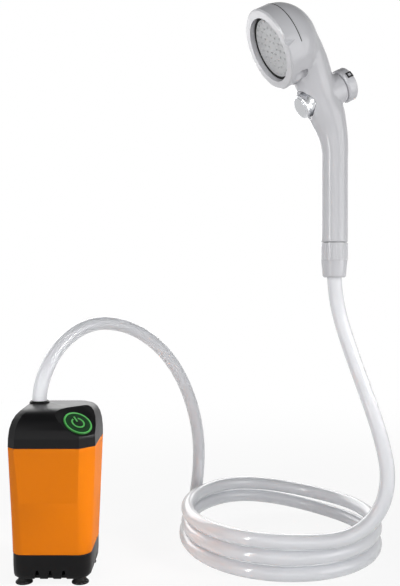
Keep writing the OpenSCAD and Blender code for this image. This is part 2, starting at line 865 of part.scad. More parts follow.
// Arch from the outlet to the floor at the coil's left: shares of the way to the coil and of its height
arch_shares = [
    [0.0106, 0.0114, 0.7481], [0.0327, 0.0384, 0.7974], [0.0606, 0.0788, 0.8442],
    [0.1015, 0.1432, 0.8935], [0.1612, 0.2262, 0.9382], [0.2258, 0.3175, 0.9714],
    [0.3019, 0.4253, 0.9922], [0.3977, 0.5602, 0.999], [0.5376, 0.7262, 0.9771],
    [0.6751, 0.8818, 0.9252], [0.7978, 1.0219, 0.8488], [0.9009, 1.1578, 0.7522],
    [0.9754, 1.2844, 0.6462], [1.0335, 1.3985, 0.5299], [1.0646, 1.4836, 0.426],
    [1.0785, 1.5324, 0.3506], [1.0817, 1.5531, 0.2805], [1.0785, 1.5358, 0.2094],
    [1.0678, 1.4804, 0.1413], [1.0523, 1.3923, 0.0826], [1.0343, 1.2771, 0.0374],
    [1.0163, 1.1433, 0.0091]
];
arch_top = cap_top + arch_rise;
arch_up = 5;

function arch_place(p) = [
    outlet_at[0] + p[0] * (coil_start[0] - outlet_at[0]),
    outlet_at[1] + p[1] * (coil_start[1] - outlet_at[1]),
    hose_r + p[2] * (arch_top - hose_r)
];

arch_path = concat(
    [[outlet_at[0], outlet_at[1], outlet_seat], [outlet_at[0], outlet_at[1], cap_top + arch_up]],
    [for (p = arch_shares) arch_place(p)],
    [coil_start - end_step * coil_start_way, coil_start]);

// Riser from the coil's right end up into the nut: shares of its swing out, its swing forward and its height
riser_shares = [
    [-0.32, 1, 0.0014], [0.0533, 1, 0.0111], [0.3867, 0.9844, 0.0351], [0.6667, 0.9688, 0.076],
    [0.8667, 0.9375, 0.129], [0.9733, 0.8906, 0.1891], [1, 0.8125, 0.2541], [0.96, 0.7031, 0.3215],
    [0.8667, 0.5781, 0.4033], [0.7333, 0.4688, 0.4851], [0.5867, 0.3594, 0.5669],
    [0.44, 0.25, 0.6487], [0.2933, 0.1562, 0.7305], [0.16, 0.0781, 0.8123], [0.0667, 0.0312, 0.8845]
];

function riser_place(p) = [
    handset_at[0] + p[0] * riser_out,
    handset_at[1] - p[1] * riser_fore,
    coil_end[2] + p[2] * (nut_bottom_z - coil_end[2])
];

riser_path = concat(
    [coil_end, coil_end + end_step * coil_end_way],
    [for (p = riser_shares) riser_place(p)],
    [[handset_at[0], handset_at[1], nut_bottom_z - nut_lead],
        [handset_at[0], handset_at[1], seam_z + insert_low]]);

function path_length(p) = len(p) < 2 ? 0 :
    let (steps = [for (i = [1 : len(p) - 1]) norm(p[i] - p[i - 1])]) steps * [for (s = steps) 1];

// Least gap between turns of the coil, measured on points over half a turn apart
coil_gap = min([
    for (i = [0 : len(coil_path) - 1], j = [i + loop_rings / 2 : 1 : len(coil_path) - 1])
        norm(coil_path[i] - coil_path[j])]) - hose_d;
echo(hose_length = path_length(arch_path) + path_length(coil_path) + path_length(riser_path));
echo(coil_gap = coil_gap);

module hose_arch() {
    color(milky) loft(tube_rings(arch_path, hose_r, hose_sides, [1, 0, 0]));
}

module hose_coil() {
    color(milky) loft(tube_rings(coil_path, hose_r, coil_sides, [0, 0, 1]));
}

module hose_riser() {
    color(milky) loft(tube_rings(riser_path, hose_r, hose_sides, [0, 0, 1]));
}

// Handset

module in_handset() {
    translate([handset_at[0], handset_at[1], seam_z]) rotate([0, 0, handset_turn]) children();
}

// Neck frame: z runs up the neck from the bend, x looks out of the spray face
module on_neck(s) {
    translate([bend_r * (1 - cos(neck_angle)), 0, grip_h + bend_r * sin(neck_angle)])
        rotate([0, neck_angle, 0]) translate([0, 0, s]) children();
}

// Axis along the spray direction at a place on the neck
module along_spray(s) {
    in_handset() on_neck(s) rotate([0, 90, 0]) children();
}

module hose_insert() {
    color(brass) in_handset() difference() {
        union() {
            translate([0, 0, insert_low]) cylinder(h = insert_t, r = thread_r - fit_clear);
            translate([0, 0, insert_low - barb_l]) cylinder(h = barb_l + 0.5, d = hose_bore);
        }
        translate([0, 0, insert_low - barb_l - cut])
            cylinder(h = barb_l + insert_t + 2 * cut, d = hose_bore - 2 * barb_wall);
    }
}

module hose_nut() {
    top_r = grip_d / 2;
    end_r = nut_end_d / 2;
    step_z = -nut_h / 2;
    step = 0.4;
    flutes = 14;
    color(white) in_handset() difference() {
        rotate_extrude() polygon([
            [0, -seam_gap], [top_r, -seam_gap], [top_r, step_z], [top_r - step, step_z - step],
            [end_r, -nut_h + 1.2], [end_r - 1.2, -nut_h], [0, -nut_h]]);
        translate([0, 0, shoulder_z]) cylinder(h = nut_h, r = thread_r + fit_clear);
        translate([0, 0, -nut_h - cut]) cylinder(h = nut_h, d = hose_d + 3 * move_gap);
        for (k = [0 : flutes - 1]) rotate([0, 0, 360 * k / flutes])
            translate([top_r + 0.8, 0, step_z + 1]) cylinder(h = -step_z - 3, r = 1.2);
    }
}

module nut_washer() {
    color(rubber) in_handset() translate([0, 0, -tail_h - washer_t]) difference() {
        cylinder(h = washer_t, r = thread_r - fit_clear);
        translate([0, 0, -cut]) cylinder(h = washer_t + 2 * cut, r = washer_bore_r);
    }
}

module inlet_tail() {
    ridge = 0.5;
    pitch = 1.8;
    color(brass) in_handset() difference() {
        union() {
            translate([0, 0, -tail_h]) cylinder(h = tail_h, r = thread_r - ridge);
            for (z = [-tail_h + 1 : pitch : -2]) translate([0, 0, z]) cylinder(h = pitch / 2, r = thread_r);
            cylinder(h = tail_up, r = tail_up_r);
        }
        translate([0, 0, -tail_h - cut]) cylinder(h = tail_h + tail_up + 2 * cut, r = water_r);
    }
}

grip_sides = 24;

function grip_ring(o, way, depth, width, shift) = [
    for (k = [0 : grip_sides - 1])
        let (a = 360 * k / grip_sides, x = shift + depth / 2 * cos(a))
        [o[0] + x * way[0], width / 2 * sin(a), o[1] + x * way[1]]
];

function bend_place(a) = [bend_r * (1 - cos(a)), grip_h + bend_r * sin(a)];

function neck_place(s) = bend_place(neck_angle) + s * [sin(neck_angle), cos(neck_angle)];

// Section of the handle that has gone the share u of the way from grip to neck
function bend_section(u) = grip_ring(
    bend_place(u * neck_angle), [cos(u * neck_angle), -sin(u * neck_angle)],
    grip_d + (neck_depth - grip_d) * u * u, grip_d + (neck_width - grip_d) * u * u, neck_shift * u);

function neck_section(s, depth, width, shift) = grip_ring(
    neck_place(s), [cos(neck_angle), -sin(neck_angle)], depth, width, shift);

handle_rings = concat(
    [for (z = [0, grip_h / 2]) grip_ring([0, z], [1, 0], grip_d, grip_d, 0)],
    [for (u = [0, 0.25, 0.5, 0.75, 1]) bend_section(u)],
    [
        neck_section(cross_s, neck_depth * 1.026, neck_width * 1.04, neck_shift * 1.14),
        neck_section(head_s * 0.42, neck_depth * 1.07, neck_width * 1.18, neck_shift * 1.38),
        neck_section(head_s * 0.61, neck_depth * 1.07, neck_width * 1.3, neck_shift * 1.8),
        neck_section(head_s * 0.78, neck_depth * 1.02, neck_width * 1.22, neck_shift * 1.9),
        neck_section(head_s * 0.95, neck_depth * 0.84, neck_width * 0.9, neck_shift * 2.2)
    ]);

dome_steps = 12;

module handset_shell() {
    bowl_r = head_d / 2 - 0.3;
    back_wall = 4;
    dome = [for (k = [0 : dome_steps]) 90 * k / dome_steps];
    color(white) difference() {
        union() {
            in_handset() loft(handle_rings);
            along_spray(head_s) translate([0, 0, seam_n]) rotate_extrude() polygon(concat(
                [[0, 0]], [for (a = dome) [bowl_r * cos(a), -bowl_depth * sin(a)]]));
            along_spray(knob_s) translate([0, 0, knob_boss_n])
                cylinder(h = neck_shift - knob_boss_n, r = knob_boss_r);
        }
        along_spray(head_s) translate([0, 0, seam_n + 0.01]) rotate_extrude() polygon(concat(
            [[0, 0]],
            [for (a = dome) [bowl_cavity_r * cos(a), -(bowl_depth - back_wall) * sin(a)]]));
        along_spray(head_s) translate([0, 0, seam_n - disc_t])
            cylinder(h = disc_t + cut, r = disc_r + fit_clear);
        along_spray(head_s) translate([0, 0, seam_n]) cylinder(h = ring_h + cut, d = head_d + 2 * fit_clear);
        along_spray(cross_s) translate([0, 0, push_floor]) cylinder(h = neck_depth, r = push_hole_r);
        along_spray(cross_s) translate([0, 0, spring_pocket_n]) cylinder(h = neck_depth, r = spring_pocket_r);
        along_spray(cross_s) translate([0, 0, spool_end - push_travel - 0.5])
            cylinder(h = neck_depth, r = spool_r + run_clear);
        along_spray(knob_s) translate([0, 0, knob_boss_n - cut])
            cylinder(h = spindle_in + move_gap - knob_boss_n + cut, r = spindle_r + run_clear);
        in_handset() translate([0, 0, -cut]) cylinder(h = tail_up + cut, r = tail_up_r);
        in_handset() cylinder(h = grip_h + bend_r * sin(neck_angle), r = water_r);
        in_handset() on_neck(0) cylinder(h = head_s - bowl_cavity_r * 0.6, r = water_r);
    }
}

// V-shaped finger notch in the edge of the face ring
module ring_notch() {
    half = 4.3;
    deep = 3;
    tip = seam_n + 3.4;
    out = head_d / 2 + 0.3;
    front = face_n + 0.3;
    polyhedron(
        [[0, out, tip], [-half, out, front], [half, out, front], [0, out - deep, front]],
        [[2, 1, 0], [1, 2, 3], [0, 1, 3], [3, 2, 0]]);
}

module face_ring() {
    notch_turn = 6;
    edge = 1.2;
    color(white) along_spray(head_s) difference() {
        rotate_extrude() polygon([
            [0, seam_n], [head_d / 2, seam_n], [head_d / 2, face_n - edge], [head_d / 2 - edge, face_n],
            [0, face_n]]);
        translate([0, 0, seam_n - cut]) cylinder(h = plate_front - seam_n + cut, r = ring_inner_r);
        translate([0, 0, seam_n]) cylinder(h = ring_h + cut, r = rim_r);
        rotate([0, 0, -notch_turn]) ring_notch();
        rotate([0, 0, 180 + notch_turn]) ring_notch();
    }
}

module spray_plate() {
    hole_d = 1;
    rows = 4;
    pitch = rim_r / (rows + 0.8);
    color(steel) along_spray(head_s) translate([0, 0, plate_back]) difference() {
        cylinder(h = plate_t_spray, r = plate_r);
        for (i = [1 : rows], k = [0 : 6 * i - 1]) rotate([0, 0, 60 * k / i])
            translate([i * pitch, 0, -cut]) cylinder(h = plate_t_spray + 2 * cut, d = hole_d);
    }
}

module plate_seal() {
    color(rubber) along_spray(head_s) translate([0, 0, seam_n]) difference() {
        cylinder(h = plate_back - seam_n, r = plate_r);
        translate([0, 0, -cut]) cylinder(h = ring_h, r = disc_r - 3);
    }
}

module flow_disc() {
    ports = 8;
    color([0.55, 0.56, 0.58]) along_spray(head_s) translate([0, 0, seam_n - disc_t]) difference() {
        cylinder(h = disc_t, r = disc_r);
        for (k = [0 : ports - 1]) rotate([0, 0, 360 * k / ports])
            translate([disc_r * 0.6, 0, -cut]) cylinder(h = disc_t + 2 * cut, d = 5);
    }
}

module mode_button() {
    edge = 1.2;
    color([0.80, 0.81, 0.83]) along_spray(cross_s) rotate_extrude() polygon([
        [0, push_back], [push_d / 2, push_back], [push_d / 2, push_face - edge],
        [push_d / 2 - edge, push_face], [0, push_face]]);
}

module button_disc() {
    disc_proud = 0.6;
    disc_in = 2;
    color(white) along_spray(cross_s) translate([0, 0, push_face])
        cylinder(h = disc_proud, d = push_d - 2 * disc_in);
}

module button_spool() {
    color(brass) along_spray(cross_s) translate([0, 0, spool_end])
        cylinder(h = push_back - spool_end, r = spool_r);
}

module button_spring() {
    low = spring_pocket_n + wire_r + 0.05;
    high = push_back - wire_r - 0.05;
    rings = 12;
    path = [for (k = [0 : spring_turns * rings])
        let (a = 360 * k / rings, u = k / (spring_turns * rings))
        [spring_r * cos(a), spring_r * sin(a), low + (high - low) * u]];
    color(steel) along_spray(cross_s) loft(tube_rings(path, wire_r, 6, [0, 0, 1]));
}

module flow_knob() {
    edge = 1;
    color(white) along_spray(knob_s) difference() {
        rotate_extrude() polygon([
            [0, knob_n], [knob_d / 2 - edge, knob_n], [knob_d / 2, knob_n - edge],
            [knob_d / 2, knob_end + edge], [knob_d / 2 - edge, knob_end], [0, knob_end]]);
        translate([0, 0, spindle_out]) cylinder(h = knob_l, r = spindle_r);
        translate([0, 0, knob_end - cut]) cylinder(h = knob_l, r = screw_shank_r);
        translate([0, 0, knob_end - cut]) cylinder(h = screw_head_t + 0.4 + cut, r = screw_head_r);
        pointer_place() pointer_form();
    }
}

pointer_turn = 115.6;
pointer_w = 5;
pointer_l = 5;
pointer_sink = 0.8;
pointer_in = 0.6;
pointer_proud = 0.3;

module pointer_place() {
    rotate([0, 0, pointer_turn])
        translate([knob_d / 2 - pointer_sink, 0, knob_end + pointer_in + pointer_l / 2]) children();
}

module pointer_form() {
    translate([0, -pointer_w / 2, -pointer_l / 2]) cube([pointer_sink + pointer_proud, pointer_w, pointer_l]);
}

module knob_pointer() {
    color([0.35, 0.36, 0.38]) along_spray(knob_s) pointer_place() pointer_form();
}

module knob_spindle() {
    color(brass) along_spray(knob_s) difference() {
        translate([0, 0, spindle_out]) cylinder(h = spindle_in - spindle_out, r = spindle_r);
        translate([0, 0, spindle_out - cut]) cylinder(h = 5 + cut, r = screw_shank_r);
    }
}

module knob_screw() {
    head = knob_end + 0.4;
    color(steel) along_spray(knob_s) difference() {
        union() {
            translate([0, 0, head]) cylinder(h = screw_head_t, r = screw_head_r);
            translate([0, 0, head]) cylinder(h = spindle_out + 5 - head, r = screw_shank_r);
        }
        translate([-screw_head_r, -0.4, head - cut]) cube([2 * screw_head_r, 0.8, cut + 0.7]);
    }
}

main_shell();
top_cap();
cap_seal();
power_button();
power_symbol();
button_light();
button_gasket();
push_switch();
switch_bracket();
control_board();
charge_socket();
port_cover();
port_pin();
outlet_collar();
outlet_spigot();
riser_pipe();
inner_frame();
battery_cells();
motor_can();
motor_bell();
shaft_bush();
rotor_shaft();
impeller();
shaft_seal();
pump_chamber();
chamber_lid();
intake_filter();
base_cover();
base_seal();
base_screws();
suction_feet();
hose_arch();
hose_coil();
hose_riser();
hose_insert();
hose_nut();
nut_washer();
inlet_tail();
handset_shell();
face_ring();
spray_plate();
plate_seal();
flow_disc();
mode_button();
button_disc();
button_spool();
button_spring();
flow_knob();
knob_pointer();
knob_spindle();
knob_screw();
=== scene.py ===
"""Dresses a portable shower set: a submersible pump, its coiled hose and its hand shower."""

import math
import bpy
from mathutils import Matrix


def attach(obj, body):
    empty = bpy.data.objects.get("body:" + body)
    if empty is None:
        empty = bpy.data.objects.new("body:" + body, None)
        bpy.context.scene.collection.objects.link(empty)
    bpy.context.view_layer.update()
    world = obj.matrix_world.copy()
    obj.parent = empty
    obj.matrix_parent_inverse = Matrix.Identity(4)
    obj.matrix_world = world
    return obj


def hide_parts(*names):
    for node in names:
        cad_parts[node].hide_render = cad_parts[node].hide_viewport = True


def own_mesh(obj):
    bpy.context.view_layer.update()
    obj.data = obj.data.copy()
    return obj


bl_info = {
    "name": "Portable Shower Set",
    "version": (1, 0, 0),
    "blender": (4, 5, 0),
    "location": "View3D > Sidebar > Shower",
    "description": "Builds the hose, housings, hand shower and studio of a portable shower set",
    "category": "Object",
}

import bmesh
import bpy
from mathutils import Vector

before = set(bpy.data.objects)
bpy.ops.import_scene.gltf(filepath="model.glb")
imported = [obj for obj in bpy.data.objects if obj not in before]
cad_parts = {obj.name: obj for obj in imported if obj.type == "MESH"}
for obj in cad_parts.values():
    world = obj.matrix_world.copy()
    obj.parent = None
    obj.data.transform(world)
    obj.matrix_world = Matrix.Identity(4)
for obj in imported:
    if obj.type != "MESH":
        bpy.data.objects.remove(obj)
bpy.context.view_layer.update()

MM = 0.001

# Camera, in pixels and millimetres
IMAGE_HEIGHT_PX = 586
IMAGE_MIDDLE_PX = 293
FOCAL_PX = 800
HORIZON_PX = 275
SENSOR_W = 36
NEAREST = 0.01
CAMERA_PLACE = (115.9, -650, 241)

# Lights: name, place and target in metres, width and height in metres, watts and beam in degrees
ALL_ROUND = 180
LIGHTS = (
    ("left strip", (-0.55, -0.65, 0.36), (0.1, 0, 0.2), (0.10, 0.8), 3.2, ALL_ROUND),
    ("right panel", (0.85, -0.35, 0.26), (0.15, 0, 0.2), (0.6, 0.6), 2.2, ALL_ROUND),
    ("right spot", (0.52, -0.18, 0.34), (0.01, -0.01, 0.065), (0.12, 0.12), 0.085, 26),
    ("front panel", (0.1, -1.6, 0.35), (0.1, 0, 0.2), (1.5, 0.9), 5.0, ALL_ROUND),
    ("back panel", (-0.15, 0.9, 0.5), (0.08, 0.05, 0.12), (1.3, 0.55), 5.0, ALL_ROUND),
)
MIRROR_SHARE = 0.6

# Backdrop: from and to a share of the way up, and the strength at each
SOFT_FADE = (0.0, 0.85, 0.44, 0.06)
WHITE_FADE = (0.40, 0.95, 1.0, 0.25)
SOFT_COLOUR = (0.97, 0.98, 1.0, 1)

# Floor, in metres: half its side, and the middle and reach of its shadow
FLOOR_HALF = 6.0
FLOOR_COLOUR = (0.86, 0.86, 0.86)
SHADOW_WHITE = 0.90
SHADOW_MIDDLE = (0.12, 0.05, 0)
SHADOW_NEAR = 0.2
SHADOW_FAR = 0.9

# Materials
NOISE_LOW = 0.3
NOISE_HIGH = 0.7
GRAIN_DETAIL = 3
GRAIN_STRENGTH = 0.25
RIM_DIM = 0.18

# Meshes, in metres, degrees and counts
SOLID_MERGE = 0.000005
RING_MERGE = 0.000001
FLAT_DEGREES = 0.6
EDGE_SEGMENTS = 3
ROUND_SIDES = 64
HEAD_SIDES = 96

# Least angle of a sharp edge, in degrees
SHELL_SHARP = 22
EDGE_SHARP = 34
SKIN_SHARP = 38
FITTING_SHARP = 40
SPRING_SHARP = 60

# Pump, in millimetres and degrees
BODY_W = 67.5
FOOT_W = 62.0
SHELL_Z = 24.0
SHELL_H = 83.0
WALL = 2.2
FRONT_CHAMFER = 11.0
CORNER_CHAMFER = 6.0
CORNER_SOFTER = 4.0
OUTLET = (-17.4, 15.0)
OUTLET_SEAT_Z = 131.0
CAP_TOP_Z = 135.0
OUTLET_STRAIGHT = 5.0
FACET_REACH = 28.05
FACET_DROP = 10.4
BUTTON_R = 10.25
LIGHT_R = 11.75
CHAMFER_SHRINK = 0.586
CORNER_STEPS = 14
SHELL_ROWS = 40
LIP_TURNS = (0, 0.5, 1.0, math.pi / 2)

# Rounding of the small fittings, in metres
BUTTON_EDGE = 0.0003
LIGHT_EDGE = 0.0002
FLAP_EDGE = 0.0003

# Housing pieces: node, name, finish, share of the edge radius and least angle of a sharp edge
HOUSING_PIECES = (
    ("top_cap", "cap", "cap black", 1.4, 24),
    ("base_cover", "base", "cap black", 0.6, 40),
    ("suction_feet", "feet", "rubber", 0.5, 30),
    ("outlet_collar", "collar", "cap black", 0.6, 30),
)

# Hose coil, in millimetres and degrees
HOSE_D = 12.0
COIL_CENTRE = (188.4, 74.5)
COIL_R = 84.0
COIL_DEPTH_R = 96.5
COIL_FIRST_OUT = 4.0
COIL_FIRST_TURN = 40.0
COIL_FROM = 165
COIL_TO = 990
CLIMB_FROM = 400
CLIMB_TURN = 90
LAYER_H = 12.6
SPRING_LIFT = 3.0
LIFT_FROM = 650
LIFT_TURN = 180
COIL_STEP = 15
HOSE_PARTS = 4
HOSE_CALM = 6
HOSE_ROUNDNESS = 7

# Hose route where it isn't coiled, in millimetres
ARCH_POINTS = (
    (-16.1, 16.1, 150), (-13.4, 18.7, 159.5), (-10, 22.6, 168.5), (-5, 28.8, 178), (2.3, 36.8, 186.6),
    (10.2, 45.6, 193), (19.5, 56, 197), (31.2, 69, 198.3), (48.3, 85, 194.1), (65.1, 100, 184.1),
    (80.1, 113.5, 169.4), (92.7, 126.6, 150.8), (101.8, 138.8, 130.4), (108.9, 149.8, 108),
    (112.7, 158, 88), (114.4, 162.7, 73.5), (114.8, 164.7, 60), (114.4, 163.03, 46.3),
    (113.1, 157.7, 33.2), (111.2, 149.2, 21.9), (109, 138.1, 13.2), (106.8, 125.2, 7.75),
)
RISER_POINTS = (
    (214.5, -22, 31.7), (228.5, -21.9, 33.7), (241, -21.5, 39.1), (251.6, -20.7, 47.8),
    (259.3, -19.5, 58.9), (263.6, -17.5, 71.4), (264.9, -14.8, 84.8), (263.5, -11.02, 98),
    (260, -6.39, 115), (255, -2.34, 132), (249.5, 1.7, 149), (244, 5.75, 166), (238.5, 9.22, 183),
    (233.5, 12.11, 200), (230, 13.84, 215),
)

# Hand shower, in millimetres and degrees
HANDSET = (227.5, 15.0, 268.0)
HANDSET_TURN = 197.0
GRIP_D = 22.4
GRIP_H = 66.0
BEND_R = 85.0
NECK_ANGLE = 27.0
NECK_DEPTH = 30.8
NECK_WIDTH = 27.0
NECK_SHIFT = -2.9
HEAD_S = 67.4
HEAD_R = 33.5
FACE_N = 21.5
SEAM_N = 8.5
BOWL_DEPTH = 28.3
PLATE_N = 16.9
RIM_R = 26.5
PUSH_S = 15.0
PUSH_R = 10.2
PUSH_BACK_N = 7.0
PUSH_FACE_N = 16.5
PUSH_POCKET_N = 3.5
PUSH_POCKET_R = 10.5
PUSH_LIP_N = 10.2
KNOB_S = 15.4
KNOB_R = 14.1
KNOB_BOSS_R = 12.7
KNOB_BOSS_N = -23.7
POINTER_N = -29.5
POINTER_TURN = 115.6
POINTER_HALF = 2.5
SPRING_POCKET_R = 7.0
SPRING_POCKET_N = -2.5
SPOOL_R = 3.6
SPOOL_END_N = -10.6
SPINDLE_R = 3.1
SPINDLE_IN_N = -12.6
TAIL_R = 6.5
TAIL_UP = 12.0
CAVITY_R = 24.4
CAVITY_DEPTH = 24.3
DISC_SEAT_R = 26.2
DISC_SEAT_N = 7.0
NOZZLE_RINGS = 4
NOZZLE_PITCH = 5.521
NOZZLE_TAPER = 0.7
NOZZLE_SIDES = 12
PUSH_T = 9.5
PUSH_WAIST = 0.9
PUSH_RIM = 1.2
PUSH_RIM_TURNS = (0.4, 0.8, 1.2, 1.57)
PUSH_STEPS = 10
PUSH_BEVEL = 0.3
# Dark ring that paints the shade in the gap between the spray plate and the rim: its width, height, gap and
# bevel
RIM_SHADE_W = 2.3
RIM_SHADE_H = 0.35
RIM_SHADE_GAP = 0.1
RIM_SHADE_BEVEL = 0.3
SCOOP_AT = (38.6, 11.2, 14.5)
SCOOP_ALONG = (0.34, -0.94, 0.0)
SCOOP_OUT = (-0.8, 0.0, 0.6)
SCOOP_RISE = 0.8
SCOOP_HALF = (8.0, 5.8, 3.2)
SCOOP_RINGS = 15
SCOOP_SIDES = 32
SCOOP_TIP = 0.25
# Dark strip that paints the shade in the seam between the face ring and the dome: its half width, sweep,
# steps, depth in and height out
SEAM_LINE = 0.35
SEAM_SWEEP = 205
SEAM_STEPS = 60
SEAM_IN = 1.2
SEAM_PROUD = 0.03
HOSE_END_Z = 249.7
NUT_BOTTOM_Z = 239.0
NUT_STRAIGHT = 4
AXIS_R = 0.3
DOME_IN = 0.3
DOME_OVER = 3
DOME_STEPS = 24
CAVITY_STEPS = 12
RING_GAP = 0.2
RING_OVER = 8
SPINDLE_OVER = 4
TAIL_OVER = 2
BEND_STEPS = 4
HANDLE_PARTS = 8

# Skin of the hand shower: its grid in metres and its passes of smoothing
SKIN_GRID = 0.0008
SKIN_CALM = 18

# Neck sections: share of the way to the head, then shares of the neck's depth, width and shift
NECK_SECTIONS = (
    (0.2226, 1.026, 1.04, 1.14), (0.42, 1.07, 1.2, 1.38), (0.61, 1.07, 1.42, 1.8),
    (0.78, 1.02, 1.62, 1.9), (0.95, 0.86, 1.75, 2.2),
)


class ShowerColours(bpy.types.PropertyGroup):
    """Colours of the set's finishes"""

    orange: bpy.props.FloatVectorProperty(
        name="Shell orange", description="Colour of the pump's shell", subtype="COLOR",
        size=3, min=0, max=1, default=(0.68, 0.175, 0.004))
    black: bpy.props.FloatVectorProperty(
        name="Cap black", description="Colour of the pump's cap and base", subtype="COLOR",
        size=3, min=0, max=1, default=(0.004, 0.004, 0.0045))
    green: bpy.props.FloatVectorProperty(
        name="Ring green", description="Colour of the lit ring and power sign", subtype="COLOR",
        size=3, min=0, max=1, default=(0.10, 0.52, 0.11))
    white: bpy.props.FloatVectorProperty(
        name="Handset white", description="Colour of the hand shower", subtype="COLOR",
        size=3, min=0, max=1, default=(0.65, 0.65, 0.675))
    milky: bpy.props.FloatVectorProperty(
        name="Hose", description="Colour of the milky hose", subtype="COLOR",
        size=3, min=0, max=1, default=(0.78, 0.79, 0.82))


class ShowerSizes(bpy.types.PropertyGroup):
    """Sizes that a user would change"""

    hose_diameter: bpy.props.FloatProperty(
        name="Hose diameter", description="Outer diameter of the hose", subtype="DISTANCE",
        unit="LENGTH", min=0.008, max=0.012, default=HOSE_D * MM)
    edge: bpy.props.FloatProperty(
        name="Edge radius", description="Rounding of the moulded edges", subtype="DISTANCE",
        unit="LENGTH", min=0.0001, max=0.002, default=0.0006)
    nozzle_radius: bpy.props.FloatProperty(
        name="Nozzle radius", description="Radius of a nozzle on the spray plate", subtype="DISTANCE",
        unit="LENGTH", min=0.0006, max=0.0015, default=0.0009)
    nozzle_height: bpy.props.FloatProperty(
        name="Nozzle height", description="How far a nozzle stands out of the spray plate",
        subtype="DISTANCE", unit="LENGTH", min=0.0002, max=0.002, default=0.0005)


def mm(x, y, z):
    """A place in metres from millimetres"""
    return Vector((x, y, z)) * MM


# Materials

def new_material(name):
    """An empty node material with its shader"""
    mat = bpy.data.materials.new(name)
    mat.use_nodes = True
    return mat, mat.node_tree, mat.node_tree.nodes["Principled BSDF"]


def object_noise(tree, scale, detail):
    """Noise over the piece's own coordinates"""
    place = tree.nodes.new("ShaderNodeTexCoord")
    noise = tree.nodes.new("ShaderNodeTexNoise")
    noise.inputs["Scale"].default_value = scale
    noise.inputs["Detail"].default_value = detail
    tree.links.new(place.outputs["Object"], noise.inputs["Vector"])
    return noise


def spread(tree, source, low, high):
    """A noise value moved to a range"""
    node = tree.nodes.new("ShaderNodeMapRange")
    node.inputs["From Min"].default_value = NOISE_LOW
    node.inputs["From Max"].default_value = NOISE_HIGH
    node.inputs["To Min"].default_value = low
    node.inputs["To Max"].default_value = high
    tree.links.new(source, node.inputs["Value"])
    return node.outputs["Result"]


def tinted(tree, shader, colour, noise, change):
    """A colour that drifts a little over the piece"""
    ramp = tree.nodes.new("ShaderNodeValToRGB")
    ramp.color_ramp.elements[0].position = NOISE_LOW
    ramp.color_ramp.elements[1].position = NOISE_HIGH
    ramp.color_ramp.elements[0].color = (*[c * (1 - change) for c in colour], 1)
    ramp.color_ramp.elements[1].color = (*[min(c * (1 + change), 1) for c in colour], 1)
    tree.links.new(noise.outputs["Fac"], ramp.inputs["Fac"])
    tree.links.new(ramp.outputs["Color"], shader.inputs["Base Color"])


def grained(tree, shader, scale, height):
    """Fine moulded grain as a bump"""
    noise = object_noise(tree, scale, GRAIN_DETAIL)
    bump = tree.nodes.new("ShaderNodeBump")
    bump.inputs["Strength"].default_value = GRAIN_STRENGTH
    bump.inputs["Distance"].default_value = height
    tree.links.new(noise.outputs["Fac"], bump.inputs["Height"])
    tree.links.new(bump.outputs["Normal"], shader.inputs["Normal"])


def moulded(name, colour, rough, grain, height, specular=0.4, coat=0.0, clear=0.08, change=0.012):
    """Moulded plastic or rubber: a slowly drifting colour, uneven gloss and a fine grain"""
    mat, tree, shader = new_material(name)
    slow = object_noise(tree, 9, 1)
    tinted(tree, shader, colour, slow, change)
    gloss = object_noise(tree, 60, 2)
    tree.links.new(spread(tree, gloss.outputs["Fac"], rough * 0.93, rough * 1.07), shader.inputs["Roughness"])
    grained(tree, shader, grain, height)
    shader.inputs["Specular IOR Level"].default_value = specular
    shader.inputs["Coat Weight"].default_value = coat
    shader.inputs["Coat Roughness"].default_value = clear
    return mat


def polished(name, colour, rough):
    """Plated or turned metal with faint smears"""
    mat, tree, shader = new_material(name)
    slow = object_noise(tree, 120, 3)
    tinted(tree, shader, colour, slow, 0.05)
    tree.links.new(spread(tree, slow.outputs["Fac"], rough * 0.6, rough * 1.4), shader.inputs["Roughness"])
    shader.inputs["Metallic"].default_value = 1.0
    return mat


def lit(name, colour, strength):
    """A light guide that glows a little unevenly"""
    mat, tree, shader = new_material(name)
    slow = object_noise(tree, 300, 2)
    tinted(tree, shader, [c * 0.12 for c in colour], slow, 0.12)
    shader.inputs["Roughness"].default_value = 0.3
    shader.inputs["Emission Color"].default_value = (*colour, 1)
    shader.inputs["Emission Strength"].default_value = strength
    return mat


def away_from(tree, place):
    """Distance of a point of the piece from a place"""
    here = tree.nodes.new("ShaderNodeTexCoord")
    gap = tree.nodes.new("ShaderNodeVectorMath")
    gap.operation = "DISTANCE"
    gap.inputs[1].default_value = place
    tree.links.new(here.outputs["Object"], gap.inputs[0])
    return gap.outputs["Value"]


def ranged(tree, source, low, high, first, last):
    """A value moved smoothly from one range to another"""
    node = tree.nodes.new("ShaderNodeMapRange")
    node.interpolation_type = "SMOOTHSTEP"
    node.inputs["From Min"].default_value = low
    node.inputs["From Max"].default_value = high
    node.inputs["To Min"].default_value = first
    node.inputs["To Max"].default_value = last
    tree.links.new(source, node.inputs["Value"])
    return node.outputs["Result"]


def ring_glow(name, colour):
    """The ring light: brightest along a thin line in its middle"""
    mat = lit(name, colour, 1.0)
    tree = mat.node_tree
    gap = away_from(tree, facet_centre())
    inner, outer = BUTTON_R * MM, LIGHT_R * MM
    middle = (inner + outer) / 2
    rise = ranged(tree, gap, inner, middle, RIM_DIM, 1.0)
    fall = ranged(tree, gap, middle, outer, 1.0, RIM_DIM)
    both = tree.nodes.new("ShaderNodeMath")
    both.operation = "MINIMUM"
    tree.links.new(rise, both.inputs[0])
    tree.links.new(fall, both.inputs[1])
    tree.links.new(both.outputs[0], tree.nodes["Principled BSDF"].inputs["Emission Strength"])
    return mat


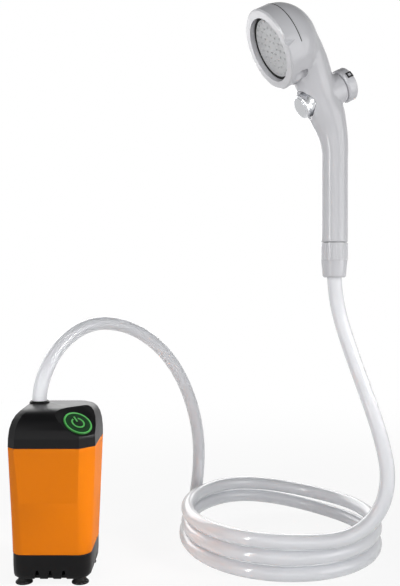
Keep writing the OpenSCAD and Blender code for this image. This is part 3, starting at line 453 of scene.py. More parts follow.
def back_lit(name, colour):
    """The dark button, with green light that creeps in from its rim"""
    mat = moulded(name, colour, 0.35, 1800, 0.00001, specular=0.2)
    tree = mat.node_tree
    shader = tree.nodes["Principled BSDF"]
    gap = away_from(tree, facet_centre())
    glow = ranged(tree, gap, 0.5 * BUTTON_R * MM, BUTTON_R * MM, 0.12, 0.45)
    shader.inputs["Emission Color"].default_value = (0.0, 0.09, 0.012, 1)
    tree.links.new(glow, shader.inputs["Emission Strength"])
    return mat


def framed_mark(name, place, across, along, half):
    """A pale square with a dark frame, for the knob's pointer"""
    mat, tree, shader = new_material(name)
    here = tree.nodes.new("ShaderNodeTexCoord")
    shift = tree.nodes.new("ShaderNodeVectorMath")
    shift.operation = "SUBTRACT"
    shift.inputs[1].default_value = place
    tree.links.new(here.outputs["Object"], shift.inputs[0])
    sides = []
    for way in (across, along):
        reach = tree.nodes.new("ShaderNodeVectorMath")
        reach.operation = "DOT_PRODUCT"
        reach.inputs[1].default_value = way
        tree.links.new(shift.outputs["Vector"], reach.inputs[0])
        size = tree.nodes.new("ShaderNodeMath")
        size.operation = "ABSOLUTE"
        tree.links.new(reach.outputs["Value"], size.inputs[0])
        sides.append(size.outputs[0])
    far = tree.nodes.new("ShaderNodeMath")
    far.operation = "MAXIMUM"
    for k, side in enumerate(sides):
        tree.links.new(side, far.inputs[k])
    ramp = tree.nodes.new("ShaderNodeValToRGB")
    ramp.color_ramp.elements[0].position = 0.42
    ramp.color_ramp.elements[1].position = 0.52
    ramp.color_ramp.elements[0].color = (0.55, 0.55, 0.57, 1)
    ramp.color_ramp.elements[1].color = (0.02, 0.02, 0.022, 1)
    tree.links.new(ranged(tree, far.outputs[0], 0, half, 0, 1), ramp.inputs["Fac"])
    tree.links.new(ramp.outputs["Color"], shader.inputs["Base Color"])
    grained(tree, shader, 900, 0.00001)
    shader.inputs["Roughness"].default_value = 0.35
    return mat


def milky_tube(name, colour):
    """Milky soft tube: a soft body, a glossy skin and paler edges"""
    mat, tree, shader = new_material(name)
    slow = object_noise(tree, 14, 2)
    tinted(tree, shader, colour, slow, 0.03)
    grained(tree, shader, 120, 0.00005)
    shader.inputs["Roughness"].default_value = 0.22
    shader.inputs["Sheen Weight"].default_value = 0.4
    shader.inputs["Sheen Roughness"].default_value = 0.35
    shader.inputs["Subsurface Weight"].default_value = 0.8
    shader.inputs["Subsurface Radius"].default_value = (1.0, 1.0, 1.0)
    shader.inputs["Subsurface Scale"].default_value = 0.012
    shader.inputs["Coat Weight"].default_value = 0.6
    shader.inputs["Coat Roughness"].default_value = 0.06
    return mat


def finishes(context):
    """The set's materials by name, made once"""
    colours = context.scene.shower_colours
    makers = {
        "shell orange": lambda n: moulded(
            n, colours.orange, 0.4, 2400, 0.000008, specular=0.0, coat=0.2, clear=0.2),
        "cap black": lambda n: moulded(n, colours.black, 0.36, 2200, 0.00002, specular=0.16),
        "button black": lambda n: back_lit(n, colours.black),
        "rubber": lambda n: moulded(n, (0.010, 0.010, 0.010), 0.6, 1500, 0.00004, specular=0.25),
        "handset white": lambda n: moulded(n, colours.white, 0.24, 1500, 0.000006, specular=0.45, coat=0.3),
        "spray plate": lambda n: moulded(n, (0.57, 0.575, 0.585), 0.42, 1500, 0.00001, specular=0.3),
        "nozzle": lambda n: moulded(n, (0.53, 0.535, 0.545), 0.4, 1500, 0.00001),
        "chrome": lambda n: polished(n, (0.80, 0.80, 0.82), 0.07),
        "steel": lambda n: polished(n, (0.55, 0.56, 0.58), 0.30),
        "plated": lambda n: polished(n, (0.22, 0.22, 0.225), 0.4),
        "brass": lambda n: polished(n, (0.65, 0.42, 0.14), 0.25),
        "mark": pointer_mark,
        "board": lambda n: moulded(n, (0.01, 0.09, 0.03), 0.4, 900, 0.00004, change=0.1),
        "grey plastic": lambda n: moulded(n, (0.06, 0.06, 0.065), 0.5, 900, 0.00003),
        "cell wrap": lambda n: moulded(n, (0.02, 0.07, 0.30), 0.3, 500, 0.00003, coat=0.4),
        "foam": lambda n: moulded(n, (0.02, 0.02, 0.02), 0.9, 260, 0.0006, change=0.3),
        "glow": lambda n: ring_glow(n, colours.green),
        "sign glow": lambda n: lit(n, [c * 0.72 for c in colours.green], 1.0),
        "milky hose": lambda n: milky_tube(n, colours.milky),
    }

    def finish(name):
        return bpy.data.materials.get(name) or makers[name](name)

    return finish


# Meshes

def paint(obj, mat):
    """One material over a whole piece"""
    obj.data.materials.clear()
    obj.data.materials.append(mat)


def new_piece(name, mesh):
    """An object at the origin that holds a mesh"""
    obj = bpy.data.objects.new(name, mesh)
    bpy.context.scene.collection.objects.link(obj)
    return obj


def smooth(mesh, degrees):
    """Smooth faces with sharp edges where they turn more than an angle"""
    mesh.shade_smooth()
    mesh.set_sharp_from_angle(angle=math.radians(degrees))


def tidy_copy(node, name):
    """A copy of a solid's mesh with its doubles merged and its flat faces joined"""
    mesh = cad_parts[node].data.copy()
    mesh.name = name
    work = bmesh.new()
    work.from_mesh(mesh)
    bmesh.ops.remove_doubles(work, verts=work.verts, dist=SOLID_MERGE)
    bmesh.ops.dissolve_limit(
        work, angle_limit=math.radians(FLAT_DEGREES), verts=work.verts, edges=work.edges)
    work.to_mesh(mesh)
    work.free()
    return new_piece(name, mesh)


def rounded(obj, radius, degrees):
    """Rounds the edges of a piece that turn more than an angle"""
    edge = obj.modifiers.new("edges", "BEVEL")
    edge.limit_method = "ANGLE"
    edge.angle_limit = math.radians(degrees)
    edge.width = radius
    edge.segments = EDGE_SEGMENTS
    edge.harden_normals = True
    smooth(obj.data, degrees)


def softened(context, node, name, finish, body, radius, degrees=EDGE_SHARP, tools=None):
    """A node's own shape with rounded edges and a finish, in place of the node"""
    obj = tidy_copy(node, name)
    if tools:
        cut_out(obj, tools)
    rounded(obj, radius, degrees)
    paint(obj, finishes(context)(finish))
    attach(obj, body)
    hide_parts(node)
    return obj


def baked(obj):
    """Turns a piece with its modifiers into a plain mesh"""
    bpy.context.view_layer.update()
    graph = bpy.context.evaluated_depsgraph_get()
    mesh = bpy.data.meshes.new_from_object(obj.evaluated_get(graph))
    obj.modifiers.clear()
    obj.data = mesh
    return obj


def cover(rings, sides):
    """Faces over rings of points, closed at both ends"""
    faces = [tuple(range(sides - 1, -1, -1))]
    for i in range(rings - 1):
        for k in range(sides):
            low, high, turn = i * sides, (i + 1) * sides, (k + 1) % sides
            faces.append((low + k, low + turn, high + turn, high + k))
    faces.append(tuple(range((rings - 1) * sides, rings * sides)))
    return faces


def belt(rings, sides):
    """Faces over rings of points, the last ring joined to the first"""
    faces = []
    for i in range(rings):
        for k in range(sides):
            low, high, turn = i * sides, (i + 1) % rings * sides, (k + 1) % sides
            faces.append((low + k, low + turn, high + turn, high + k))
    return faces


def skinned(name, rings, faces):
    """A mesh over rings of points, its faces turned outwards"""
    mesh = bpy.data.meshes.new(name)
    mesh.from_pydata([p for ring in rings for p in ring], [], faces(len(rings), len(rings[0])))
    work = bmesh.new()
    work.from_mesh(mesh)
    bmesh.ops.remove_doubles(work, verts=work.verts, dist=RING_MERGE)
    bmesh.ops.recalc_face_normals(work, faces=work.faces)
    work.to_mesh(mesh)
    work.free()
    return mesh


def together(name, meshes):
    """Several meshes in one"""
    work = bmesh.new()
    for mesh in meshes:
        work.from_mesh(mesh)
        bpy.data.meshes.remove(mesh)
    mesh = bpy.data.meshes.new(name)
    work.to_mesh(mesh)
    work.free()
    return mesh


def turned(place, profile, sides=ROUND_SIDES):
    """Rings about an axis, from pairs of radius and distance along it"""
    turns = [2 * math.pi * k / sides for k in range(sides)]
    return [[place(r * math.cos(a), r * math.sin(a), along) for a in turns] for r, along in profile]


def cut_out(obj, tools):
    """Takes one mesh out of a piece"""
    helper = new_piece("tool", tools)
    cut = obj.modifiers.new("cut", "BOOLEAN")
    cut.operation = "DIFFERENCE"
    cut.solver = "EXACT"
    cut.object = helper
    baked(obj)
    bpy.data.objects.remove(helper)


# Hose

def coil_place(angle):
    """Place on the coil's centre line at an angle, in millimetres"""
    turn = math.radians(angle)
    first = max(1 - (angle - COIL_FROM) / COIL_FIRST_TURN, 0)
    radius = COIL_R + COIL_FIRST_OUT * first * first
    turns = max(angle - CLIMB_FROM, 0) / 360
    rise = min((turns - math.floor(turns)) * 360 / CLIMB_TURN, 1)
    layer = math.floor(turns) + (1 - math.cos(math.pi * rise)) / 2 if angle > CLIMB_FROM else 0
    share = min(max((angle - LIFT_FROM) / LIFT_TURN, 0), 1)
    lift = SPRING_LIFT * (1 - math.cos(2 * math.pi * share)) / 2
    return Vector((
        COIL_CENTRE[0] + radius * math.cos(turn),
        COIL_CENTRE[1] + COIL_DEPTH_R * math.sin(turn),
        HOSE_D / 2 + layer * LAYER_H + lift))


def hose_route():
    """The hose's points from the pump's outlet to the hand shower, in millimetres"""
    start_way = (coil_place(COIL_FROM + 1) - coil_place(COIL_FROM)).normalized()
    end_way = (coil_place(COIL_TO) - coil_place(COIL_TO - 1)).normalized()
    coil_start = coil_place(COIL_FROM) - HOSE_D * start_way
    coil_end = coil_place(COIL_TO) + HOSE_D * end_way
    arch = [Vector((*OUTLET, OUTLET_SEAT_Z)), Vector((*OUTLET, CAP_TOP_Z + OUTLET_STRAIGHT))]
    arch += [Vector(p) for p in ARCH_POINTS] + [coil_start]
    coil = [coil_place(a) for a in range(COIL_FROM, COIL_TO, COIL_STEP)] + [coil_place(COIL_TO)]
    riser = [coil_end] + [Vector(p) for p in RISER_POINTS]
    riser += [Vector((HANDSET[0], HANDSET[1], z)) for z in (NUT_BOTTOM_Z - NUT_STRAIGHT, HOSE_END_Z)]
    return arch + coil + riser


def eased(points, parts):
    """A smooth curve through points, with a number of parts between each pair"""
    ends = [2 * points[0] - points[1]] + points + [2 * points[-1] - points[-2]]
    curve = []
    for a, b, c, d in zip(ends, ends[1:], ends[2:], ends[3:]):
        for k in range(parts):
            t = k / parts
            curve.append(0.5 * (
                2 * b + (c - a) * t + (2 * a - 5 * b + 4 * c - d) * t * t + (3 * b - a - 3 * c + d) * t ** 3))
    curve.append(points[-1])
    return curve


def calmed(points, passes):
    """The points of a curve with their kinks taken out, its ends kept"""
    for _ in range(passes):
        inner = [(a + 2 * b + c) / 4 for a, b, c in zip(points, points[1:], points[2:])]
        points = [points[0]] + inner + [points[-1]]
    return points


class SHOWER_OT_hose(bpy.types.Operator):
    """Lays the hose from the pump's outlet through its coil to the hand shower"""

    bl_idname = "shower.hose"
    bl_label = "Hose"

    def execute(self, context):
        size = context.scene.shower_sizes.hose_diameter
        points = [p * MM for p in calmed(eased(hose_route(), HOSE_PARTS), HOSE_CALM)]
        curve = bpy.data.curves.new("hose", "CURVE")
        curve.dimensions = "3D"
        curve.bevel_depth = size / 2
        curve.bevel_resolution = HOSE_ROUNDNESS
        curve.use_fill_caps = True
        spline = curve.splines.new("POLY")
        spline.points.add(len(points) - 1)
        for point, place in zip(spline.points, points):
            point.co = (*place, 1)
        spline.use_smooth = True
        hose = new_piece("hose", curve)
        paint(hose, finishes(context)("milky hose"))
        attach(hose, "pump")
        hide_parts("hose_arch", "hose_coil", "hose_riser")
        return {"FINISHED"}


# Pump

def facet_centre():
    """Centre of the power button, in metres"""
    reach = FACET_REACH * math.sqrt(0.5)
    return mm(reach, -reach, CAP_TOP_Z - FACET_DROP)


def corner(centre, leg, start, soft):
    """Points round a corner that goes from a chamfer (0) to a round (1)"""
    first = math.radians(start)
    places = []
    for k in range(CORNER_STEPS + 1):
        u = k / CORNER_STEPS
        turn = first + math.pi / 2 * u
        flat = Vector((
            (1 - u) * math.cos(first) - u * math.sin(first), (1 - u) * math.sin(first) + u * math.cos(first)))
        bow = Vector((math.cos(turn), math.sin(turn)))
        places.append(Vector(centre) + leg * ((1 - soft) * flat + soft * bow))
    return places


def shell_ring(height, inset):
    """Outline of the pump's shell at a height over its lower edge, moved in by a distance"""
    share = height / SHELL_H
    soft = 1 - share
    half = (FOOT_W + (BODY_W - FOOT_W) * share) / 2 - inset
    front = FRONT_CHAMFER - CHAMFER_SHRINK * inset
    other = CORNER_CHAMFER + CORNER_SOFTER * soft - CHAMFER_SHRINK * inset
    outline = corner((half - front, front - half), front, -90, soft)
    outline += corner((half - other, half - other), other, 0, soft)
    outline += corner((other - half, half - other), other, 90, soft)
    outline += corner((other - half, other - half), other, 180, soft)
    return [mm(p.x, p.y, SHELL_Z + height) for p in outline]


def shell_mesh(edge):
    """The shell's wall, with rounded rims"""
    lip = edge / MM
    low = [(lip * (1 - math.sin(a)), lip * (1 - math.cos(a))) for a in LIP_TURNS]
    rings = [shell_ring(h, inset) for inset, h in low]
    rings += [shell_ring(SHELL_H * k / SHELL_ROWS, 0) for k in range(1, SHELL_ROWS)]
    rings += [shell_ring(SHELL_H - h, inset) for inset, h in reversed(low)]
    rings += [shell_ring(SHELL_H, WALL), shell_ring(0, WALL)]
    return skinned("shell", rings, belt)


class SHOWER_OT_housing(bpy.types.Operator):
    """Builds the pump's shell, and rounds and paints its cap, base and feet"""

    bl_idname = "shower.housing"
    bl_label = "Pump housing"

    def execute(self, context):
        edge = context.scene.shower_sizes.edge
        shell = new_piece("shell", shell_mesh(edge))
        smooth(shell.data, SHELL_SHARP)
        paint(shell, finishes(context)("shell orange"))
        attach(shell, "pump")
        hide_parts("main_shell")
        for node, name, finish, share, degrees in HOUSING_PIECES:
            softened(context, node, name, finish, "pump", edge * share, degrees)
        return {"FINISHED"}


class SHOWER_OT_controls(bpy.types.Operator):
    """Paints the power button, its ring light and its sign, and the charge port"""

    bl_idname = "shower.controls"
    bl_label = "Controls"

    def execute(self, context):
        finish = finishes(context)
        softened(
            context, "power_button", "button", "button black", "power_button", BUTTON_EDGE, FITTING_SHARP)
        paint(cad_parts["power_symbol"], finish("sign glow"))
        softened(context, "button_light", "ring_light", "glow", "pump", LIGHT_EDGE, FITTING_SHARP)
        softened(context, "port_cover", "port_flap", "rubber", "port_flap", FLAP_EDGE, FITTING_SHARP)
        return {"FINISHED"}


# Hand shower

def in_handset(x, y, z):
    """A place in the hand shower's frame: over its seam with the nut"""
    turn = math.radians(HANDSET_TURN)
    return mm(
        HANDSET[0] + x * math.cos(turn) - y * math.sin(turn),
        HANDSET[1] + x * math.sin(turn) + y * math.cos(turn), HANDSET[2] + z)


def on_neck(s, n, c):
    """A place on the neck: up it, out of the spray face and to the side"""
    lean = math.radians(NECK_ANGLE)
    x = BEND_R * (1 - math.cos(lean)) + s * math.sin(lean) + n * math.cos(lean)
    z = GRIP_H + BEND_R * math.sin(lean) + s * math.cos(lean) - n * math.sin(lean)
    return in_handset(x, c, z)


def about_spray(s):
    """Places about the spray direction at a distance up the neck"""
    return lambda u, v, n: on_neck(s + u, n, v)


def pointer_mark(name):
    """The knob's pointer, framed"""
    turn = math.radians(POINTER_TURN)
    s, c = KNOB_S - KNOB_R * math.cos(turn), KNOB_R * math.sin(turn)
    place = on_neck(s, POINTER_N, c)
    across = (on_neck(s + math.sin(turn), POINTER_N, c + math.cos(turn)) - place).normalized()
    along = (on_neck(s, POINTER_N + 1, c) - place).normalized()
    return framed_mark(name, place, across, along, POINTER_HALF * MM)


def handle_rings():
    """Sections of the grip, its bend and the neck"""
    rows = [Vector((0, z, 0, GRIP_D, GRIP_D, 0)) for z in (0, GRIP_H / 2)]
    whole = math.radians(NECK_ANGLE)
    for k in range(BEND_STEPS + 1):
        u = k / BEND_STEPS
        lean = whole * u
        rows.append(Vector((
            BEND_R * (1 - math.cos(lean)), GRIP_H + BEND_R * math.sin(lean), lean,
            GRIP_D + (NECK_DEPTH - GRIP_D) * u * u, GRIP_D + (NECK_WIDTH - GRIP_D) * u * u, NECK_SHIFT * u)))
    for share, depth, width, shift in NECK_SECTIONS:
        s = share * HEAD_S
        rows.append(Vector((
            BEND_R * (1 - math.cos(whole)) + s * math.sin(whole),
            GRIP_H + BEND_R * math.sin(whole) + s * math.cos(whole), whole,
            NECK_DEPTH * depth, NECK_WIDTH * width, NECK_SHIFT * shift)))
    rings = []
    for x, z, lean, depth, width, shift in eased(rows, HANDLE_PARTS):
        ring = []
        for k in range(ROUND_SIDES):
            turn = 2 * math.pi * k / ROUND_SIDES
            reach = shift + depth / 2 * math.cos(turn)
            ring.append(in_handset(
                x + reach * math.cos(lean), width / 2 * math.sin(turn), z - reach * math.sin(lean)))
        rings.append(ring)
    return rings


def handset_body():
    """Grip, neck, domed head and knob boss run into one skin"""
    head = HEAD_R - DOME_IN
    quarter = [math.pi / 2 * k / DOME_STEPS for k in range(DOME_STEPS)]
    dome = [(head, SEAM_N + DOME_OVER)]
    dome += [(head * math.cos(a), SEAM_N - BOWL_DEPTH * math.sin(a)) for a in quarter]
    dome += [(AXIS_R, SEAM_N - BOWL_DEPTH)]
    boss = [(KNOB_BOSS_R, NECK_SHIFT), (KNOB_BOSS_R, KNOB_BOSS_N)]
    body = new_piece("handset", together("handset", [
        skinned("handle", handle_rings(), cover),
        skinned("dome", turned(about_spray(HEAD_S), dome, HEAD_SIDES), cover),
        skinned("boss", turned(about_spray(KNOB_S), boss), cover)]))
    skin = body.modifiers.new("skin", "REMESH")
    skin.mode = "VOXEL"
    skin.voxel_size = SKIN_GRID
    calm = body.modifiers.new("calm", "SMOOTH")
    calm.factor = 0.5
    calm.iterations = SKIN_CALM
    return baked(body)


def handset_cuts():
    """The seats of the face ring, the push button, the knob's spindle and the inlet"""
    quarter = [math.pi / 2 * k / CAVITY_STEPS for k in range(CAVITY_STEPS)]
    ring = [(HEAD_R + RING_GAP, FACE_N + RING_OVER), (HEAD_R + RING_GAP, SEAM_N), (DISC_SEAT_R, SEAM_N),
            (DISC_SEAT_R, DISC_SEAT_N), (CAVITY_R, DISC_SEAT_N)]
    ring += [(CAVITY_R * math.cos(a), SEAM_N - CAVITY_DEPTH * math.sin(a)) for a in quarter[2:]]
    ring += [(AXIS_R, SEAM_N - CAVITY_DEPTH)]
    push = [(PUSH_POCKET_R + FACE_N - PUSH_LIP_N, FACE_N), (PUSH_POCKET_R, PUSH_LIP_N),
            (PUSH_POCKET_R, PUSH_POCKET_N), (SPRING_POCKET_R, PUSH_POCKET_N),
            (SPRING_POCKET_R, SPRING_POCKET_N), (SPOOL_R, SPRING_POCKET_N), (SPOOL_R, SPOOL_END_N)]
    spindle = [(SPINDLE_R, SPINDLE_IN_N), (SPINDLE_R, KNOB_BOSS_N - SPINDLE_OVER)]
    tail = [(TAIL_R, -TAIL_OVER), (TAIL_R, TAIL_UP)]
    return together("cuts", [
        skinned("ring", turned(about_spray(HEAD_S), ring, HEAD_SIDES), cover),
        skinned("push", turned(about_spray(PUSH_S), push), cover),
        skinned("spindle", turned(about_spray(KNOB_S), spindle), cover),
        skinned("tail", turned(in_handset, tail), cover)])


def thumb_scoops():
    """Two shallow leaf-shaped hollows under the head"""
    along = Vector(SCOOP_ALONG).normalized()
    out = Vector(SCOOP_OUT)
    out = (out - along * out.dot(along)).normalized()
    across = along.cross(out)
    long, wide, deep = SCOOP_HALF
    middle = Vector(SCOOP_AT) + SCOOP_RISE * out
    scoops = []
    for side in (-1, 1):
        rings = []
        for k in range(SCOOP_RINGS):
            rise = math.pi * (k + SCOOP_TIP) / (SCOOP_RINGS - 1 + 2 * SCOOP_TIP) - math.pi / 2
            ring = []
            for j in range(SCOOP_SIDES):
                turn = 2 * math.pi * j / SCOOP_SIDES
                s, n, c = (
                    middle + long * math.sin(rise) * along
                    + wide * math.cos(rise) * math.cos(turn) * across
                    + deep * math.cos(rise) * math.sin(turn) * out)
                ring.append(on_neck(s, n, side * c))
            rings.append(ring)
        scoops.append(skinned("scoop", rings, cover))
    return together("scoops", scoops)


def seam_line_mesh():
    """The dark line where the face ring meets the dome, over the top of the head: a dark strip that paints
    the shade in the seam
    """
    half = math.radians(SEAM_SWEEP) / 2
    inner, outer = HEAD_R - SEAM_IN, HEAD_R + SEAM_PROUD
    rings = []
    for k in range(SEAM_STEPS + 1):
        turn = half * (2 * k / SEAM_STEPS - 1)
        rings.append([on_neck(HEAD_S + r * math.cos(turn), n, r * math.sin(turn)) for r, n in (
            (inner, SEAM_N - SEAM_LINE), (outer, SEAM_N - SEAM_LINE), (outer, SEAM_N + SEAM_LINE),
            (inner, SEAM_N + SEAM_LINE))])
    return skinned("seam_line", rings, cover)


def push_button_mesh():
    """The waisted chrome body of the push button"""
    length = PUSH_T - PUSH_RIM - PUSH_BEVEL
    profile = [(AXIS_R, PUSH_BACK_N), (PUSH_R - PUSH_BEVEL, PUSH_BACK_N)]
    for k in range(PUSH_STEPS + 1):
        t = k / PUSH_STEPS
        profile.append((
            PUSH_R - PUSH_WAIST * math.sin(math.pi * t) ** 2, PUSH_BACK_N + PUSH_BEVEL + length * t))
    for turn in PUSH_RIM_TURNS:
        profile.append((
            PUSH_R - PUSH_RIM + PUSH_RIM * math.cos(turn),
            PUSH_FACE_N - PUSH_RIM + PUSH_RIM * math.sin(turn)))
    profile += [(AXIS_R, PUSH_FACE_N)]
    return skinned("push_button", turned(about_spray(PUSH_S), profile, HEAD_SIDES), cover)


def rim_shade_mesh():
    """A dark ring that paints the shade in the gap between the spray plate and the rim"""
    inner, outer, high = RIM_R - RIM_SHADE_W, RIM_R - RIM_SHADE_GAP, PLATE_N + RIM_SHADE_H
    rings = turned(about_spray(HEAD_S), [
        (inner, PLATE_N), (inner + RIM_SHADE_BEVEL, high), (outer, high), (outer, PLATE_N)], HEAD_SIDES)
    return skinned("rim_shade", rings, belt)


def nozzle_tree(mat):
    """Geometry nodes: a short nozzle on each point of a mesh, all turned one way"""
    tree = bpy.data.node_groups.new("nozzles", "GeometryNodeTree")
    face = tree.interface
    face.new_socket("Points", in_out="INPUT", socket_type="NodeSocketGeometry")
    kinds = {"Radius": "NodeSocketFloat", "Height": "NodeSocketFloat", "Turn": "NodeSocketVector"}
    sockets = {}
    for name, kind in kinds.items():
        sockets[name] = face.new_socket(name, in_out="INPUT", socket_type=kind).identifier
    face.new_socket("Nozzles", in_out="OUTPUT", socket_type="NodeSocketGeometry")
    start, end = tree.nodes.new("NodeGroupInput"), tree.nodes.new("NodeGroupOutput")
    tip = tree.nodes.new("ShaderNodeMath")
    tip.operation = "MULTIPLY"
    tip.inputs[1].default_value = NOZZLE_TAPER
    tree.links.new(start.outputs["Radius"], tip.inputs[0])
    cone = tree.nodes.new("GeometryNodeMeshCone")
    cone.inputs["Vertices"].default_value = NOZZLE_SIDES
    tree.links.new(start.outputs["Radius"], cone.inputs["Radius Bottom"])
    tree.links.new(tip.outputs[0], cone.inputs["Radius Top"])
    tree.links.new(start.outputs["Height"], cone.inputs["Depth"])
    turn = tree.nodes.new("FunctionNodeEulerToRotation")
    tree.links.new(start.outputs["Turn"], turn.inputs[0])
    spread_out = tree.nodes.new("GeometryNodeInstanceOnPoints")
    tree.links.new(start.outputs["Points"], spread_out.inputs["Points"])
    tree.links.new(cone.outputs["Mesh"], spread_out.inputs["Instance"])
    tree.links.new(turn.outputs[0], spread_out.inputs["Rotation"])
    real = tree.nodes.new("GeometryNodeRealizeInstances")
    tree.links.new(spread_out.outputs["Instances"], real.inputs[0])
    finish = tree.nodes.new("GeometryNodeSetMaterial")
    finish.inputs["Material"].default_value = mat
    tree.links.new(real.outputs[0], finish.inputs["Geometry"])
    tree.links.new(finish.outputs[0], end.inputs[0])
    return tree, sockets


def nozzles(context):
    """Nozzles in rings on the spray plate"""
    sizes = context.scene.shower_sizes
    mat = finishes(context)("nozzle")
    points = []
    for i in range(1, NOZZLE_RINGS + 1):
        for k in range(6 * i):
            turn = math.pi / 3 * k / i
            reach = NOZZLE_PITCH * i
            points.append(on_neck(
                HEAD_S - reach * math.cos(turn), PLATE_N, reach * math.sin(turn)))
    mesh = bpy.data.meshes.new("nozzles")
    mesh.from_pydata(points, [], [])
    piece = new_piece("nozzles", mesh)
    out = on_neck(HEAD_S, 1, 0) - on_neck(HEAD_S, 0, 0)
    tree, sockets = nozzle_tree(mat)
    rows = piece.modifiers.new("nozzles", "NODES")
    rows.node_group = tree
    rows[sockets["Radius"]] = sizes.nozzle_radius
    rows[sockets["Height"]] = sizes.nozzle_height
    rows[sockets["Turn"]] = out.to_track_quat("Z", "Y").to_euler()
    baked(piece)
    paint(piece, mat)
    return piece


def push_spring(context):
    """The spring behind the push button, carried by the hand shower"""
    piece = tidy_copy("button_spring", "push_spring")
    smooth(piece.data, SPRING_SHARP)
    paint(piece, finishes(context)("steel"))
    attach(piece, "handset")
    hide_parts("button_spring")
    seat = on_neck(PUSH_S, SPRING_POCKET_N, 0)
    top = on_neck(PUSH_S, PUSH_BACK_N, 0)
    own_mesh(piece)


class SHOWER_OT_handset(bpy.types.Operator):
    """Builds the hand shower's skin, push button and nozzles, and rounds and paints its fittings"""

    bl_idname = "shower.handset"
    bl_label = "Hand shower"

    def execute(self, context):
        edge = context.scene.shower_sizes.edge
        finish = finishes(context)
        body = handset_body()
        cut_out(body, handset_cuts())
        cut_out(body, thumb_scoops())
        smooth(body.data, SKIN_SHARP)
        paint(body, finish("handset white"))
        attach(body, "handset")
        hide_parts("handset_shell")
        push = new_piece("push_button", push_button_mesh())
        smooth(push.data, FITTING_SHARP)
        paint(push, finish("chrome"))
        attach(push, "mode_button")
        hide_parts("mode_button")
        # A dark ring in the rubber finish paints the shade in the gap between the spray plate and the rim
        seal = new_piece("rim_shade", rim_shade_mesh())
        smooth(seal.data, FITTING_SHARP)
        paint(seal, finish("rubber"))
        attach(seal, "handset")
        push_spring(context)
        rows = nozzles(context)
        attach(rows, "handset")
        # A dark strip in the rubber finish paints the shade in the seam between the face ring and the dome
        line = new_piece("seam_line", seam_line_mesh())
        paint(line, finish("rubber"))
        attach(line, "handset")
        softened(context, "face_ring", "face_rim", "handset white", "handset", edge, tools=thumb_scoops())
        softened(context, "hose_nut", "nut", "handset white", "handset", edge * 0.5)
        softened(context, "button_disc", "push_disc", "chrome", "mode_button", edge * 0.4)
        softened(context, "flow_knob", "knob", "handset white", "flow_knob", edge)
        return {"FINISHED"}


INNER_FINISHES = {
    "rubber": ("cap_seal", "button_gasket", "shaft_seal", "base_seal", "nut_washer", "plate_seal"),
    "steel": ("push_switch", "charge_socket", "port_pin", "motor_can", "rotor_shaft", "base_screws",
              "knob_screw"),
    "plated": ("inlet_tail",),
    "brass": ("shaft_bush", "hose_insert", "button_spool", "knob_spindle"),
    "grey plastic": ("switch_bracket", "inner_frame", "pump_chamber", "chamber_lid", "flow_disc",
                     "riser_pipe"),
    "cap black": ("outlet_spigot", "motor_bell"),
    "handset white": ("impeller",),
    "board": ("control_board",),
    "cell wrap": ("battery_cells",),
    "foam": ("intake_filter",),
    "spray plate": ("spray_plate",),
    "mark": ("knob_pointer",),
}


class SHOWER_OT_insides(bpy.types.Operator):
    """Paints the pieces that keep their own shape, most of them inside"""

    bl_idname = "shower.insides"
    bl_label = "Inner pieces"

    def execute(self, context):
        finish = finishes(context)
        for name, nodes in INNER_FINISHES.items():
            for node in nodes:
                paint(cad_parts[node], finish(name))
        return {"FINISHED"}


# Stage

def area_light(name, place, target, size, watts, beam):
    """A soft panel of light that looks at a place, its beam an angle wide"""
    light = bpy.data.lights.new(name, "AREA")
    light.shape = "RECTANGLE"
    light.size, light.size_y = size
    light.energy = watts
    light.spread = math.radians(beam)
    lamp = bpy.data.objects.new(name, light)
    lamp.visible_camera = False
    lamp.location = place
    lamp.rotation_euler = (Vector(target) - Vector(place)).to_track_quat("-Z", "Y").to_euler()
    bpy.context.scene.collection.objects.link(lamp)


def seen_directly(tree):
    """How much of the backdrop a ray shows: all of it when straight, part of it in a mirror"""
    path = tree.nodes.new("ShaderNodeLightPath")
    part = tree.nodes.new("ShaderNodeMath")
    part.operation = "MULTIPLY"
    part.inputs[1].default_value = MIRROR_SHARE
    tree.links.new(path.outputs["Is Glossy Ray"], part.inputs[0])
    total = part.outputs[0]
    for name in ("Is Camera Ray", "Is Transmission Ray"):
        most = tree.nodes.new("ShaderNodeMath")
        most.operation = "MAXIMUM"
        tree.links.new(total, most.inputs[0])
        tree.links.new(path.outputs[name], most.inputs[1])
        total = most.outputs[0]
    return total


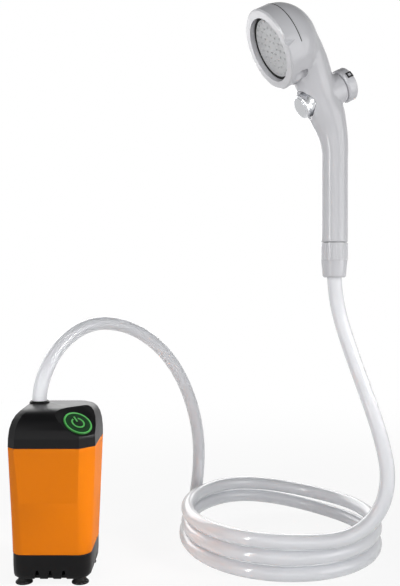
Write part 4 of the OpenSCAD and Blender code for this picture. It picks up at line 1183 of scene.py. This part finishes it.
class SHOWER_OT_stage(bpy.types.Operator):
    """Sets the camera, the pale floor, the backdrop and the studio light"""

    bl_idname = "shower.stage"
    bl_label = "Studio"

    def execute(self, context):
        scene = context.scene
        scene.view_settings.view_transform = "Standard"
        self.camera(scene)
        self.floor()
        self.world(scene)
        for light in LIGHTS:
            area_light(*light)
        return {"FINISHED"}

    def camera(self, scene):
        """A level camera, its picture shifted to the horizon"""
        lens = bpy.data.cameras.new("camera")
        lens.sensor_width = SENSOR_W
        lens.lens = lens.sensor_width * FOCAL_PX / IMAGE_HEIGHT_PX
        lens.shift_y = (HORIZON_PX - IMAGE_MIDDLE_PX) / IMAGE_HEIGHT_PX
        lens.clip_start = NEAREST
        camera = bpy.data.objects.new("camera", lens)
        camera.location = mm(*CAMERA_PLACE)
        camera.rotation_euler = (math.pi / 2, 0, 0)
        scene.collection.objects.link(camera)
        scene.camera = camera

    def floor(self):
        """A pale floor that keeps the set's shadow and runs out to white"""
        mesh = bpy.data.meshes.new("floor")
        far = FLOOR_HALF
        mesh.from_pydata([(-far, -far, 0), (far, -far, 0), (far, far, 0), (-far, far, 0)], [], [(0, 1, 2, 3)])
        floor = new_piece("floor", mesh)
        mat, tree, shader = new_material("floor")
        grain = object_noise(tree, 30, 2)
        tinted(tree, shader, FLOOR_COLOUR, grain, 0.01)
        shader.inputs["Roughness"].default_value = 0.8
        shader.inputs["Specular IOR Level"].default_value = 0.0
        glow = tree.nodes.new("ShaderNodeEmission")
        glow.inputs["Strength"].default_value = 1.0
        mix = tree.nodes.new("ShaderNodeMixShader")
        share = tree.nodes.new("ShaderNodeMath")
        share.operation = "MULTIPLY"
        tree.links.new(seen_directly(tree), share.inputs[0])
        gap = away_from(tree, SHADOW_MIDDLE)
        tree.links.new(ranged(tree, gap, SHADOW_NEAR, SHADOW_FAR, SHADOW_WHITE, 1.0), share.inputs[1])
        tree.links.new(share.outputs[0], mix.inputs[0])
        tree.links.new(shader.outputs[0], mix.inputs[1])
        tree.links.new(glow.outputs[0], mix.inputs[2])
        tree.links.new(mix.outputs[0], tree.nodes["Material Output"].inputs["Surface"])
        paint(floor, mat)

    def world(self, scene):
        """A white backdrop over soft light that fades upwards"""
        world = bpy.data.worlds.new("studio")
        world.use_nodes = True
        tree = world.node_tree
        way = tree.nodes.new("ShaderNodeTexCoord")
        axes = tree.nodes.new("ShaderNodeSeparateXYZ")
        tree.links.new(way.outputs["Generated"], axes.inputs[0])
        soft = tree.nodes["Background"]
        soft.inputs["Color"].default_value = SOFT_COLOUR
        tree.links.new(ranged(tree, axes.outputs["Z"], *SOFT_FADE), soft.inputs["Strength"])
        white = tree.nodes.new("ShaderNodeBackground")
        white.inputs["Color"].default_value = (1, 1, 1, 1)
        tree.links.new(ranged(tree, axes.outputs["Z"], *WHITE_FADE), white.inputs["Strength"])
        mix = tree.nodes.new("ShaderNodeMixShader")
        tree.links.new(seen_directly(tree), mix.inputs[0])
        tree.links.new(soft.outputs[0], mix.inputs[1])
        tree.links.new(white.outputs[0], mix.inputs[2])
        tree.links.new(mix.outputs[0], tree.nodes["World Output"].inputs["Surface"])
        scene.world = world


class SHOWER_PT_panel(bpy.types.Panel):
    """Lists the set's colours, sizes and pieces"""

    bl_idname = "SHOWER_PT_panel"
    bl_label = "Shower set"
    bl_space_type = "VIEW_3D"
    bl_region_type = "UI"
    bl_category = "Shower"

    def draw(self, context):
        colours = context.scene.shower_colours
        for name in ("orange", "black", "green", "white", "milky"):
            self.layout.prop(colours, name)
        sizes = context.scene.shower_sizes
        for name in ("hose_diameter", "edge", "nozzle_radius", "nozzle_height"):
            self.layout.prop(sizes, name)
        for operator in OPERATORS:
            self.layout.operator(operator.bl_idname)


OPERATORS = (
    SHOWER_OT_stage,
    SHOWER_OT_hose,
    SHOWER_OT_housing,
    SHOWER_OT_controls,
    SHOWER_OT_handset,
    SHOWER_OT_insides,
)
CLASSES = (ShowerColours, ShowerSizes, *OPERATORS, SHOWER_PT_panel)


def register():
    """Adds the set's classes and settings"""
    for item in CLASSES:
        bpy.utils.register_class(item)
    bpy.types.Scene.shower_colours = bpy.props.PointerProperty(type=ShowerColours)
    bpy.types.Scene.shower_sizes = bpy.props.PointerProperty(type=ShowerSizes)


def unregister():
    """Takes the set's settings and classes out again"""
    del bpy.types.Scene.shower_sizes
    del bpy.types.Scene.shower_colours
    for item in reversed(CLASSES):
        bpy.utils.unregister_class(item)


def main():
    """Builds the whole set"""
    register()
    bpy.ops.shower.stage()
    bpy.ops.shower.hose()
    bpy.ops.shower.housing()
    bpy.ops.shower.controls()
    bpy.ops.shower.handset()
    bpy.ops.shower.insides()


if __name__ == "__main__":
    main()
